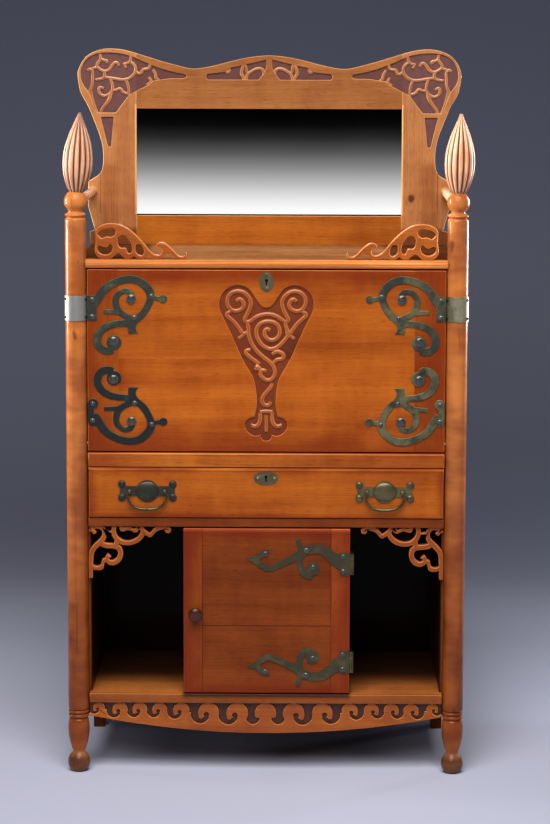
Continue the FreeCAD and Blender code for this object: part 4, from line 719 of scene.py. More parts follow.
STEM = [
    (-41, 1030), (-38.7, 1017.2), (-38, 1003.7), (-35, 991.7), (-27.5, 976.7), (-17, 963.1),
    (-3.6, 951.1), (9.9, 940.6), (18.2, 929.3), (21.1, 918.1), (16.7, 906.1), (5.4, 900.1),
    (-5.8, 905.3), (-11.8, 916.6), (-6.5, 922.6), (1.7, 920.3)]
SIDE_LEAF = [
    [(-77.6, 1054.8), (-86.6, 1047.3), (-80.6, 1039.8), (-67.9, 1027.8), (-57.4, 1014.2),
     (-49.2, 1004.5), (-40.5, 1008.5)],
    [(-49.2, 1002.2), (-60.4, 993.2)]]
LOW_LEAF = [
    [(-33.5, 969.1), (-44, 964.6), (-36.5, 953.4), (-24.5, 944.3), (-14, 936.1)],
    [(-23.5, 931, 1.6), (-19.5, 929, 1.6), (-9.5, 924.1)]]
CURLED_LEAF = [
    [(17.4, 939.1), (25.6, 946.3), (37.6, 949.6), (39.9, 956.4), (33.9, 962.4), (24.1, 964.6),
     (14.4, 958.6)],
    [(24.9, 973.7), (24.9, 964.6)]]
LOW_HOOK = [
    (14.4, 894), (12.9, 886.5), (3.9, 875.3), (-5.8, 862.5), (-7.3, 852), (0.2, 843.7),
    (9.2, 845.9), (11.7, 852.7)]
TASSELS = [
    [(-12.5, 829), (1.7, 830), (15.9, 829)],
    [(-12.1, 827.9), (-12.1, 809.9), (-17, 799.3), (-25.3, 796.3), (-32.7, 800.1)],
    [(1.7, 821.9), (1.7, 784.3)],
    [(15.2, 827.9), (15.2, 809.9), (20.4, 799.3), (28.6, 796.3), (36.6, 800.1)]]

# Runs of the mirror frame's carving, in units of an enlarged drawing of its left half: the
# millimetres to one unit, the drawing's upper left corner on the desk, and the runs.
EAR_UNIT = 0.13617
EAR_CORNER = (-456.6, 1641.1)
EAR_RUNS = [
    [(430, 170), (440, 260), (375, 380), (420, 430), (500, 490), (500, 570), (350, 620)],
    [(420, 430), (520, 470), (600, 430), (650, 360), (710, 320), (760, 380)],
    [(830, 350), (940, 310), (970, 200)],
    [(940, 310), (1000, 340), (1045, 430), (1000, 540), (880, 610), (640, 590), (500, 570)],
    [(840, 340), (880, 410)],
    [(600, 590), (640, 700), (640, 800), (560, 880), (470, 890), (410, 820), (430, 750), (490, 775)],
    [(620, 820, 1.3), (590, 950, 1.3), (520, 1050), (460, 1130), (430, 1230)],
    [(640, 800), (720, 790), (770, 770), (830, 830), (900, 860)],
    [(870, 610), (910, 700), (930, 890)],
    [(1045, 470), (1120, 510), (1180, 440), (1270, 420), (1300, 330)],
    [(1270, 570), (1310, 650), (1240, 710)],
    [(1340, 440), (1390, 530), (1400, 590), (1445, 625)],
    [(440, 255), (500, 283), (553, 300), (540, 335)],
    [(270, 440), (330, 420), (385, 395)],
    [(210, 460), (270, 440), (300, 600), (260, 800), (215, 850)],
    [(270, 820), (340, 1100), (390, 1200)]]

CREST_UNIT = 0.2118
CREST_CORNER = (-162.5, 1626.9)
CREST_RUNS = [
    [(490, 140), (468, 200), (460, 260), (480, 300), (485, 335)],
    [(515, 335), (520, 280), (580, 228), (640, 203), (690, 215), (708, 260), (695, 335)],
    [(290, 215), (305, 245), (335, 205)],
    [(500, 140), (520, 250)]]


def from_chart(runs, unit, corner):
    """Runs read off an enlarged drawing, in millimetres on the desk."""
    return [
        [(corner[0] + point[0] * unit, corner[1] - point[1] * unit, *point[2:]) for point in run]
        for run in runs]


# The rims of the fronts, as (left, right, low, high, reach of the patina).
FALL_RIM = (-0.3985, 0.3985, 0.7371, 1.147, 0.12)
DRAWER_RIM = (-0.40, 0.40, 0.585, 0.706, 0.03)
DOOR_RIM = (-0.185, 0.189, 0.1861, 0.5634, 0.06)
# Where carving lies in y, as (face, floor).
FALL_CARVED = (-0.1905, -0.1865)
MIRROR_CARVED = (0.1935, 0.1975)
APRON_CARVED = (-0.1855, -0.1795)
FALL_SEAM = 0.9481
FALL_FIELD = 0.12
CARVING_SHIFT = -1.5
# Spans of y: all of a board, and the faces that stand at the front of the desk.
ALL_DEPTH = (-0.3, 0.3)
FACES = (-0.3, -0.18)
SHELF_FADE = (-0.185, 0.01)


def on_outside(rim):
    """Picks edges on the rim of a front, given as (left, right, low, high), not its inner joints."""
    left, right, low, high = rim[:4]

    def test(middle):
        return (
            abs(middle.x - left) < 0.002 or abs(middle.x - right) < 0.002
            or abs(middle.z - low) < 0.02 or abs(middle.z - high) < 0.002)
    return test


def on_face(face, reach):
    """Picks edges that lie on a face at one y."""
    return lambda middle: abs(middle.y - face) < reach


def sides(near, far):
    """Spans of x that mirror each other, the left one first."""
    return (-far, -near), (near, far)


class DESK_OT_fall(bpy.types.Operator):
    """Dress the boards and cleats of the fall"""
    bl_idname = "desk.fall"
    bl_label = "Fall boards"

    def execute(self, context):
        ease = 1.3 * context.scene.desk_wood.ease
        rim = on_outside(FALL_RIM)
        on_field = on_face(FALL_CARVED[0], 0.0005)

        def rim_or_field(middle):
            return rim(middle) or (
                abs(middle.x) < FALL_FIELD and on_field(middle) and abs(middle.z - FALL_SEAM) > 0.001)
        # The wood behind the keyhole is painted near black as the shade inside it.
        holes = [middle_of("fall_escutcheon")]
        for node, lift in (("fall_upper_board", 0.98), ("fall_lower_board", 1.06)):
            dress(worked_copy(node, ease, rim_or_field), node, "x", "front", edges=FALL_RIM,
                  ground=FALL_CARVED, holes=holes, lift=lift)
        for node in ("fall_left_cleat", "fall_right_cleat"):
            dress(worked_copy(node, ease, rim), node, "z", "front", edges=FALL_RIM, lift=0.9)
        return {"FINISHED"}


class DESK_OT_fall_carving(bpy.types.Operator):
    """Carve the scrolling stems in the sunk field of the fall"""
    bl_idname = "desk.fall_carving"
    bl_label = "Fall carving"

    def execute(self, context):
        runs = [VOLUTE, ARCH, EYE, STEM, LOW_HOOK] + SIDE_LEAF + LOW_LEAF + CURLED_LEAF + TASSELS
        twins = [VOLUTE] + SIDE_LEAF
        runs = moved(runs, CARVING_SHIFT) + mirrored(moved(twins, CARVING_SHIFT))
        carve("fall_scrolls", "fall_upper_board", "x", "front", runs, FALL_CARVED,
              width=10.6, sink=1.3, gloss=0.34, sheen=0.4, lift=0.78, worn=1.8)
        return {"FINISHED"}


def case_tints():
    """Tints of the case boards by node: painted shade, a painted sheen, and changes of tone."""
    inside_back = (-1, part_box("back_panel")[1].y - 0.001)
    # Painted shade: the dividers darken behind their front edges, into the compartments.
    compartment_shade = [((None, (-0.13, 0.3), None), 0.06, (0.08, 0.06, 0.05))]
    return {
        # A top painted pale grey as the sheen of reflected light, painted shade in the gaps at the ends of
        # its round nose, and painted shade behind the gallery brackets.
        "case_top": [
            ((None, (-0.183, 0.3), (1.1675, 1.2)), 0.001, (0.66, 0.88, 1.4)),
            *(((span, (-0.3, -0.16), None), 0.002, (0.2, 0.13, 0.1))
              for span in sides(0.402, 0.5)),
            *(((span, (-0.165, 0.3), None), 0.012, (0.34, 0.26, 0.24))
              for span in sides(0.275, 0.43))],
        # A painted shadow under the door, and darker along the front edge.
        "bottom_shelf": [
            (((-0.187, 0.191), ALL_DEPTH, (0.1745, 0.2)), 0.006, (0.18, 0.16, 0.15)),
            ((None, (-0.3, -0.184), None), 0.003, (0.62, 0.54, 0.5))],
        # Painted shade on the back panel's face inside the compartments.
        "back_panel": [((None, inside_back, None), 0.0005, (0.05, 0.04, 0.036))],
        "left_divider": compartment_shade,
        "right_divider": compartment_shade,
        # A dull top edge, a light left half with a dark end, and a dark right half.
        "desk_floor": [
            ((None, (-0.3, -0.1), (0.731, 0.74)), 0.003, (0.8, 0.8, 0.8)),
            (((-1, 0.05), None, None), 0.25, (1.12, 1.3, 1.5)),
            (((-1, -0.32), None, None), 0.05, (0.72, 0.56, 0.6)),
            (((0.12, 1), None, None), 0.2, (0.82, 0.76, 0.9))],
    }


class DESK_OT_case_boards(bpy.types.Operator):
    """Dress the boards of the case and ease their edges"""
    bl_idname = "desk.case_boards"
    bl_label = "Case boards"

    def execute(self, context):
        ease = context.scene.desk_wood.ease
        tints = case_tints()
        for node, grain, kind, round_over, lift, sheen in (
                ("case_top", "x", "pale", 0, 1.15, 0.0),
                ("desk_floor", "x", "front", 3, 1.0, 0.12),
                ("drawer_board", "x", "red", 1, 1.0, 0.12),
                ("bottom_shelf", "x", "pale", 1.5, 1.18, 0.12),
                ("left_side_board", "z", "red", 1, 1, 0.12),
                ("right_side_board", "z", "red", 1, 1, 0.12),
                ("left_divider", "z", "red", 1, 0.5, 0.02),
                ("right_divider", "z", "red", 1, 0.5, 0.02),
                ("rear_legs", "z", "red", 1, 0.6, 0.12),
                ("back_panel", "z", "red", 0, 0.6, 0.02)):
            low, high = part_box(node)
            piece = worked_copy(node, round_over * ease, on_face(low.y, 0.001))
            # The side boards get painted shade on their inner faces, and the bottom shelf painted shade
            # towards its back.
            dress(piece, node, grain, kind, gloss=0.0 if node == "case_top" else 0.05, sheen=sheen,
                  inside=min(abs(low.x), abs(high.x)) + 0.003 if "side_board" in node else None,
                  lift=lift, fade=SHELF_FADE if node == "bottom_shelf" else None,
                  tints=tints.get(node, ()))
        return {"FINISHED"}


class DESK_OT_drawer(bpy.types.Operator):
    """Dress the drawer front and its box"""
    bl_idname = "desk.drawer"
    bl_label = "Drawer"

    def execute(self, context):
        on_front = on_face(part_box("drawer_front")[0].y, 0.001)
        piece = worked_copy(
            "drawer_front", context.scene.desk_wood.ease,
            lambda middle: on_front(middle) and abs(middle.x) > 0.02)
        # The tint paints a highlight along the top edge, and the wood behind the keyhole is painted near
        # black as the shade inside it.
        dress(piece, "drawer_front", "x", "front", edges=DRAWER_RIM,
              holes=[middle_of("drawer_escutcheon")],
              tints=[((None, FACES, (0.6968, 0.71)), 0.002, (3.4, 4.4, 5.5))])
        for node, grain in (
                ("drawer_left_side", "y"), ("drawer_right_side", "y"), ("drawer_back", "x"),
                ("drawer_bottom", "x")):
            paint(node, wood(node + "_wood", grain, "inner", gloss=0.1))
        return {"FINISHED"}


class DESK_OT_door(bpy.types.Operator):
    """Dress the cupboard door"""
    bl_idname = "desk.door"
    bl_label = "Cupboard door"

    def execute(self, context):
        ease = 0.8 * context.scene.desk_wood.ease
        rim = on_outside(DOOR_RIM)
        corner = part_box("door_upper_board")[0]
        front, seam = corner.y, corner.z
        left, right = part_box("door_left_cleat")[1].x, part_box("door_right_cleat")[0].x
        # A painted highlight along the door's rounded top edge.
        painted_top_highlight = ((None, FACES, (0.5575, 0.57)), 0.003, (2.0, 2.4, 3.0))
        dark_seam = (
            ((left, right), FACES, (seam - 0.001, seam + 0.001)), 0.0008, (0.25, 0.2, 0.2))
        dark_joints = [
            (((x - 0.001, x + 0.001), FACES, None), 0.0008, (0.42, 0.34, 0.32))
            for x in (left, right)]
        for node, grain, lift in (
                ("door_upper_board", "x", 1.0), ("door_lower_board", "x", 1.0),
                ("door_left_cleat", "z", 1.2), ("door_right_cleat", "z", 1.68)):
            piece = worked_copy(
                node, ease, lambda middle: rim(middle) or middle.y < front + 0.0005)
            dress(piece, node, grain, "red", edges=DOOR_RIM, lift=lift,
                  tints=[painted_top_highlight, dark_seam, *dark_joints])
        return {"FINISHED"}


# Outlines of turned pieces, as (height, radius) in millimetres.
FINIAL_OUTLINE = (
    (0, 15), (9, 20.5), (26, 27.5), (44, 32), (62, 33.6), (80, 33), (98, 30.2), (116, 25.2),
    (134, 18.8), (150, 12.2), (164, 6.5), (174, 3))
FINIAL_RIBS = 14
POST_OUTLINE = (
    (0, 12), (2, 16.4), (6, 20.6), (11, 23.4), (17, 24.9), (23, 25), (29, 24.2), (35, 21.9), (40, 18.6),
    (44, 14.8), (46.5, 13.8), (49, 14.6), (58, 17.6), (70, 21), (84, 23.4), (98, 24.2), (110, 23.8),
    (119, 22.4), (123.5, 20.8), (124.5, 18.8), (126, 21), (128, 22.8), (130, 23.2), (132, 22.8), (134, 20.6),
    (135, 19.4), (136, 20.6), (138, 22.8), (140, 23.2), (142, 22.4), (143.2, 20), (144.4, 19.4),
    (146, 22.4), (148, 23.5), (1254, 23.5), (1258, 23.2), (1261, 21), (1262, 19.2), (1263.2, 19.4),
    (1265, 22), (1267.5, 23.3), (1270, 22.2), (1272, 19), (1273.6, 16), (1276, 15.2), (1279, 16.8),
    (1282, 19.6), (1287, 22.9), (1292, 24.6), (1297.5, 25.2), (1303, 24.6), (1308, 22.9), (1313, 19.9),
    (1317, 16.4), (1319, 13))
BOBBIN = ((5, 8.8), (12, 10.4), (25, 10.4), (32, 8.8), (37, 4.6))
KNOB_OUTLINE = (
    (0, 3.9), (28, 3.9), (28.2, 9), (31, 9), (33, 6.5), (38, 7.6), (41, 12), (45, 15.6), (48, 16.4),
    (51, 15.4), (53.6, 11), (54.8, 5), (55, 1))
ROD_X, ROD_BACK, ROD_HEIGHT = 0.416, 0.1935, 1.296
ROD_BUTT = ((0, 10), (70, 10.2), (118, 9), (124, 4.6))
ROD_TIP = ((305, 9), (312, 10.6), (322, 10.6), (330, 8.4), (334, 6.6), (352, 6.6))
BOBBIN_PITCH = 44
BOBBIN_COUNT = 4
RIB_SHARE = 0.188
CORE_SHARE = 0.8


def finial(side, foot, lean):
    """A ribbed bud: a turned core with round ribs.

    foot is how many millimetres it stands right of its post's middle, and lean how far it goes
    right for each millimetre up.
    """
    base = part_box("finials")[0].z / MM
    middle = side * POST_X / MM + foot
    front = POST_Y / MM
    runs = []
    for rib in range(FINIAL_RIBS):
        turn = 2 * math.pi * (rib + 0.5) / FINIAL_RIBS
        run = []
        for up, out in FINIAL_OUTLINE:
            radius = out * RIB_SHARE
            reach = out - radius
            run.append((
                middle + lean * up + reach * math.cos(turn), front + reach * math.sin(turn), base + up,
                radius))
        runs.append(run)
    ribs = strands("finial_ribs", runs, 4)
    core = lathe("finial_core", [(up, CORE_SHARE * out) for up, out in FINIAL_OUTLINE], (0, 0, 0))
    open_mesh()
    bpy.ops.transform.translate(value=(middle * MM, front * MM, base * MM))
    net = bmesh.from_edit_mesh(core.data)
    for vert in net.verts:
        vert.co.x += lean * (vert.co.z - base * MM)
    bmesh.update_edit_mesh(core.data)
    bpy.ops.object.mode_set(mode="OBJECT")
    return [ribs, core]


def rod_outline():
    """A gallery rod: a plain butt, a row of bobbins and a turned tip."""
    outline = list(ROD_BUTT)
    neck, neck_radius = ROD_BUTT[-1]
    for step in range(BOBBIN_COUNT):
        outline += [(neck + BOBBIN_PITCH * step + up, out) for up, out in BOBBIN]
        outline.append((neck + BOBBIN_PITCH * (step + 1), neck_radius))
    return outline + list(ROD_TIP)


class DESK_OT_turnings(bpy.types.Operator):
    """Turn the posts, the finials, the gallery rods and the knob"""
    bl_idname = "desk.turnings"
    bl_label = "Turned pieces"

    def execute(self, context):
        # Painted shade darkens the lower part of the posts, and a painted reflection greys the ball feet.
        painted_low_shade = ((None, None, (-1, 0.55)), 0.3, (0.62, 0.47, 0.32))
        painted_foot_reflection = ((None, None, (-1, 0.05)), 0.004, (1.22, 1.95, 4.3))
        for node, side in (("left_post", -1), ("right_post", 1)):
            piece = lathe("turned_" + node, POST_OUTLINE, (side * POST_X, POST_Y, 0), segments=72)
            dress(piece, node, "z", "pale", gloss=0.24, turned=True, feet=True, lift=1.34,
                  tints=[painted_low_shade, painted_foot_reflection])
        buds = finial(-1, foot=3, lean=0.045) + finial(1, foot=0.5, lean=0.02)
        piece = joined("turned_finials", buds)
        settle(piece, "finials", ribbed_wood("finials_wood"))
        rods = [
            lathe("gallery_rod", rod_outline(), (side * ROD_X, ROD_BACK, ROD_HEIGHT), forward=True)
            for side in (-1, 1)]
        dress(joined("turned_gallery_rods", rods), "gallery_rods", "y", "rib", gloss=1.0, turned=True,
              sheen=0.5, lift=1.6)
        x, z = middle_of("door_knob")
        piece = lathe("turned_knob", KNOB_OUTLINE, (x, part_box("door_knob")[1].y, z), forward=True)
        dress(piece, "door_knob", "y", "red", gloss=0.25, turned=True, sheen=0.25, lift=0.22)
        return {"FINISHED"}


# Marks on the mirror stiles, as (near, far) in |x|, (low, high) in z, soft and factor: the dark
# joint beside the curve, shade beside the post, a painted highlight along the inner edge and
# painted shade behind the gallery brackets, down by the case top.
STILE_MARKS = (
    ((0.3975, 0.3987), (1.243, 1.37), 0.0006, (0.4, 0.32, 0.28)),
    ((0.36, 0.398), (1.2, 1.36), 0.014, (0.74, 0.64, 0.6)),
    ((0.31, 0.3165), (1.24, 1.5), 0.0012, (1.75, 1.95, 2.3)),
    ((0.27, 0.43), (1.1, 1.208), 0.008, (0.4, 0.3, 0.26)))
STILE_KNOT = (0.336, 1.2796, 0.008)
# Tints of whole boards.
PALE_STILE = ((), 0.0, (1.02, 1.1, 1.34))
PALE_RAIL = ((), 0.0, (0.96, 1.1, 1.25))


def stile_tints(right):
    """The tints of one mirror stile, the left one's mirrored."""
    return [PALE_STILE] + [
        ((sides(*span)[right], None, height), soft, factor)
        for span, height, soft, factor in STILE_MARKS]


class DESK_OT_mirror(bpy.types.Operator):
    """Dress the mirror frame, its carving and the glass"""
    bl_idname = "desk.mirror"
    bl_label = "Mirror back"

    def execute(self, context):
        ease = 1.4 * context.scene.desk_wood.ease
        for node, grain, kind, lift, tints, knots in (
                ("mirror_left_stile", "z", "frame", 1.4, stile_tints(False), ()),
                ("mirror_right_stile", "z", "frame", 1.24, stile_tints(True), [STILE_KNOT]),
                ("mirror_crest_rail", "x", "frame", 0.97, (), ()),
                ("mirror_bottom_rail", "x", "front", 1.0, [PALE_RAIL], ())):
            piece = worked_copy(node, ease, on_face(MIRROR_CARVED[0], 0.0005))
            dress(piece, node, grain, kind, ground=MIRROR_CARVED, stain="frame_ground", lift=lift,
                  knots=knots, tints=tints, worn=2.3)
        ears = from_chart(EAR_RUNS, EAR_UNIT, EAR_CORNER)
        for side, runs in (("left", ears), ("right", mirrored(ears))):
            carve(side + "_ear_scrolls", "mirror_" + side + "_stile", "z", "frame", runs,
                  MIRROR_CARVED, width=8.4, sink=0.4, gloss=0.6, sheen=0.5, stain="frame_ground",
                  lift=0.9, worn=2.0)
        half = from_chart(CREST_RUNS, CREST_UNIT, CREST_CORNER)
        carve("crest_scrolls", "mirror_crest_rail", "x", "frame", half + mirrored(half),
              MIRROR_CARVED, width=9.0, sink=0.8, gloss=0.4, sheen=0.5, stain="frame_ground",
              lift=0.88, worn=2.0)
        paint("mirror_glass", silvered("mirror_silvering"))
        paint("mirror_back_panel", wood("mirror_back_panel_wood", "x", "inner", gloss=0.1))
        return {"FINISHED"}


class DESK_OT_frets(bpy.types.Operator):
    """Carve the apron and the pierced brackets"""
    bl_idname = "desk.frets"
    bl_label = "Apron and brackets"

    def execute(self, context):
        for node, ground, ease, lift in (
                ("apron", APRON_CARVED, 1.3, 0.92), ("compartment_brackets", None, 2.2, 0.74),
                ("gallery_brackets", None, 2.2, 0.92)):
            piece = worked_copy(
                node, ease * MM, on_face(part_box(node)[0].y, 0.0008), segments=3)
            dress(piece, node, "x", "front", ground=ground, stain="apron_ground", gloss=0.06,
                  sheen=0.3, lift=lift, worn=2.6)
        return {"FINISHED"}


def ball(radii, place, turn=0.0):
    """A round ball with its own half axes, turned about y."""
    clear_selection()
    bpy.ops.mesh.primitive_uv_sphere_add(
        segments=28, ring_count=18, radius=1, location=place, rotation=(0, turn, 0))
    piece = bpy.context.object
    piece.scale = radii
    fix_place()
    return piece


def boss(place, radii):
    """A low round boss on a front, flat at the back."""
    piece = ball(radii, place)
    open_mesh()
    bpy.ops.mesh.bisect(
        plane_co=(place[0], place[1] + 0.2 * radii[1], place[2]), plane_no=(0, 1, 0),
        use_fill=True, clear_outer=True)
    close_mesh()
    smooth(piece, 50)
    return piece


def pierce_keyhole(piece, centre, front):
    """Cuts a keyhole, round above and flared below, through an escutcheon."""
    x, z = centre
    clear_selection()
    bpy.ops.mesh.primitive_cylinder_add(
        vertices=24, radius=0.0034, depth=0.03, location=(x, front, z + 0.003),
        rotation=(math.pi / 2, 0, 0))
    eye = bpy.context.object
    fix_place()
    bpy.ops.mesh.primitive_cube_add(size=1, location=(x, front, z - 0.0025))
    ward = bpy.context.object
    ward.scale = (0.0036, 0.03, 0.011)
    fix_place()
    for tool in (eye, ward):
        take_up(piece)
        cut = piece.modifiers.new("keyhole", "BOOLEAN")
        cut.operation = "DIFFERENCE"
        cut.object = tool
        bpy.ops.object.modifier_apply(modifier="keyhole")
        bpy.data.objects.remove(tool)


def centres(node):
    """The middles of the loose pieces of a CAD node, from left to right."""
    net = bmesh.new()
    net.from_mesh(frame["nodes"][node].data)
    bmesh.ops.remove_doubles(net, verts=net.verts, dist=WELD)
    left = set(net.verts)
    found = []
    while left:
        reached = [left.pop()]
        for vert in reached:
            for edge in vert.link_edges:
                other = edge.other_vert(vert)
                if other in left:
                    left.remove(other)
                    reached.append(other)
        found.append(sum((vert.co for vert in reached), Vector()) / len(reached))
    net.free()
    return sorted(found, key=lambda middle: (round(middle.x, 4), middle.z))


# Where the curls of the right fall mounts end in a large stud, as (x, z).
CURL_ENDS = ((0.3054, 1.0808), (0.3437, 0.9879), (0.3446, 0.9028), (0.3022, 0.8089))
# The middle of the right pull, and the wire of a bail about it, as (across, up, radius) in
# millimetres.
PULL_PLACE = (0.266, 0.649)
BAIL_RUN = (
    (-39.5, 2.5, 3.4), (-44, -5, 3.2), (-43, -16, 3), (-37, -28, 3), (-26, -36.5, 3.1), (-12, -40, 3.5),
    (0, -40.6, 3.7), (12, -40, 3.5), (26, -36.5, 3.1), (37, -28, 3), (43, -16, 3), (44, -5, 3.2),
    (39.5, 2.5, 3.4))
BAIL_EYE = 0.0395
EYE_RADIUS = 0.006
EYE_FLAT = 0.86
LARGE_STUD, SMALL_STUD = 10.5, 5.6
CURL_REACH = 0.012


def bail(node, side, swing):
    """A hanging bail: a bent wire with an eye at each end, a little flattened along its swing."""
    x, z = side * PULL_PLACE[0], PULL_PLACE[1]
    run = [(x / MM + across, swing / MM, z / MM + up, radius) for across, up, radius in BAIL_RUN]
    eyes = []
    for end in (-1, 1):
        eye = ball((EYE_RADIUS, EYE_RADIUS, EYE_RADIUS * EYE_FLAT), (x + end * BAIL_EYE, swing, z),
                   math.pi / 2)
        smooth(eye, 50)
        eyes.append(eye)
    return joined(node + "_grip", [strands(node + "_wire", [run], 8)] + eyes)


def domes(node, rise):
    """Domed heads over the screws of a node, larger where a curl of the mounts ends."""
    studs = []
    for middle in centres(node):
        away = min((abs(middle.x) - x) ** 2 + (middle.z - z) ** 2 for x, z in CURL_ENDS)
        large = away < CURL_REACH ** 2 and "mount" in node
        radius = LARGE_STUD if large else SMALL_STUD
        studs.append(boss(
            (middle.x, middle.y + 0.5 * MM, middle.z), (radius * MM, rise * MM, radius * MM)))
    return joined("domed_" + node, studs)


class DESK_OT_bronze(bpy.types.Operator):
    """Finish the mounts, straps, pulls, bands and escutcheons"""
    bl_idname = "desk.bronze"
    bl_label = "Bronze fittings"

    def execute(self, context):
        metals = context.scene.desk_metal
        for node, base, bright, rub, right_rub in (
                ("upper_fall_mounts", metals.bronze, metals.bronze_worn, 0.5, 0.1),
                ("lower_fall_mounts", metals.black_bronze, metals.bronze_worn, 0.15, 0.26),
                ("door_strap_hinges", metals.olive, metals.olive_worn, 0.6, 0.0),
                ("drawer_pull_plates", metals.bronze, metals.olive_worn, 0.2, 0.3)):
            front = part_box("upper_fall_mounts" if "mounts" in node else node)[0].y
            piece = worked_copy(node, 1.5 * MM, lambda middle: middle.y < front + 0.0008, segments=3)
            settle(piece, node, metal(node + "_bronze", base, bright, rub=rub, right_rub=right_rub))
        piece = worked_copy("post_bands", 0.4 * MM, lambda middle: True, sharp=50)
        settle(piece, "post_bands", band_metal("post_bands_metal"))
        for node in ("fall_escutcheon", "drawer_escutcheon"):
            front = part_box(node)[0].y
            centre = middle_of(node)
            piece = worked_copy(
                node, 0.7 * MM, lambda middle: middle.y < front + 0.0005 and (
                    abs(middle.x) > 0.008 or abs(middle.z - centre[1]) > 0.008))
            pierce_keyhole(piece, centre, front)
            settle(piece, node, metal(node + "_brass", metals.brass, metals.bronze_worn, rub=0.6))
        low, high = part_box("left_bail")
        for node, side in (("left_bail", -1), ("right_bail", 1)):
            settle(bail(node, side, (low.y + high.y) / 2), node, metal(
                node + "_bronze", metals.olive, metals.bronze_worn, shine=0.8, rough=0.28, rub=0.9))
        for node, rise in (("fall_mount_screws", 3.4), ("door_screws", 2.6)):
            settle(domes(node, rise), node, metal(
                node + "_stud", metals.stud, metals.steel, shine=0.4, rough=0.2, rub=-0.4, wax=1.0))
        return {"FINISHED"}


# Half axes of the pulls' domes, their lobes and the escutcheon's pins, and where lobes and pins sit.
PULL_DOME = (0.0275, 0.0062, 0.0215)
PULL_LOBE = (0.0078, 0.003, 0.0078)
LOBE_OUT, LOBE_UP = 0.057, 0.015
PIN_HEAD = (0.0024, 0.0016, 0.0024)
PIN_OUT = 0.0185


class DESK_OT_bosses(bpy.types.Operator):
    """Raise the domes and lobes of the drawer pulls and pin the drawer escutcheon"""
    bl_idname = "desk.bosses"
    bl_label = "Pull bosses and pins"

    def execute(self, context):
        metals = context.scene.desk_metal
        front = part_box("upper_fall_mounts")[0].y
        pieces = []
        for side in (-1, 1):
            x, z = side * PULL_PLACE[0], PULL_PLACE[1]
            pieces.append(boss((x, front, z), PULL_DOME))
            for end in (-1, 1):
                for lift in (-1, 1):
                    pieces.append(boss((x + end * LOBE_OUT, front, z + lift * LOBE_UP), PULL_LOBE))
        add_on(joined("pull_bosses", pieces), "drawer_pull_plates", metal(
            "pull_bosses_bronze", metals.bronze, metals.olive_worn, shine=0.6, rough=0.32, rub=0.15,
            right_rub=0.3))
        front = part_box("drawer_escutcheon")[0].y
        height = middle_of("drawer_escutcheon")[1]
        pins = [boss((side * PIN_OUT, front, height), PIN_HEAD) for side in (-1, 1)]
        add_on(joined("escutcheon_pins", pins), "drawer_escutcheon", metal(
            "escutcheon_pins_steel", metals.steel, (0.7, 0.69, 0.66), shine=1.0, rough=0.25))
        return {"FINISHED"}


class DESK_OT_inside(bpy.types.Operator):
    """Paint the writing compartment, the locks and the stays"""
    bl_idname = "desk.inside"
    bl_label = "Inside of the desk"

    def execute(self, context):
        metals = context.scene.desk_metal
        for node, grain in (
                ("writing_bed", "x"), ("pigeonhole_shelves", "x"), ("pigeonhole_uprights", "z")):
            paint(node, wood(node + "_wood", grain, "inner"))
        for node in ("quadrant_stays", "stay_guides", "door_hinge_leaves"):
            paint(node, metal(
                node + "_brass", metals.brass, (0.6, 0.48, 0.22), shine=1.0, rough=0.3))
        for node in ("fall_lock", "drawer_lock", "fall_lock_bolt", "drawer_lock_bolt", "door_latch",
                     "fall_pivot_pins"):
            paint(node, metal(node + "_iron", metals.iron, (0.3, 0.28, 0.26), shine=0.9, rough=0.45))
        return {"FINISHED"}


# How the far end of the studio darkens upwards, as the looking glass shows it.
FAR_END = (
    (0.0, 1.0), (0.13, 0.8), (0.28, 0.5), (0.43, 0.25), (0.58, 0.088), (0.72, 0.018), (0.84, 0.001),
    (1.0, 0.0))
# Heights of a glossy ray's direction between which the far end shows, and how bright it is.
FAR_LOW, FAR_HIGH = 0.0263, 0.0688
FAR_GLOW = 1.29
AIR_TINT, AIR_GLOW = (0.94, 0.97, 1), 0.05
# Half the floor's width and depth, its middle in y, and the rise of the backdrop behind it.
FLOOR_HALF = (12, 10)
FLOOR_MIDDLE = -7
BACKDROP_RISE = (0, 0.3, 6)
BEND = 1.2
# Each lamp's place, aim, width, height, watts and spread in degrees.
LAMPS = (
    ("key_lamp", (-0.15, -2.6, 4.4), (0, 0, 0.7), 3.6, 2.4, 225, 180),
    ("front_fill", (-0.7, -5.0, 3.6), (0, 0, 0.8), 2.4, 1.6, 80, 180),
    ("left_strip", (-2.4, 0.2, 1.5), (-0.4, -0.1, 1.45), 0.3, 1.6, 11, 46),
    ("right_strip", (2.1, 1.2, 1.5), (0.4, -0.1, 1.45), 0.35, 1.6, 11, 46))
SENSOR_HEIGHT = 24
FOCAL_LENGTH = 71.8
LENS_SHIFT = (-0.0015, -0.0966)


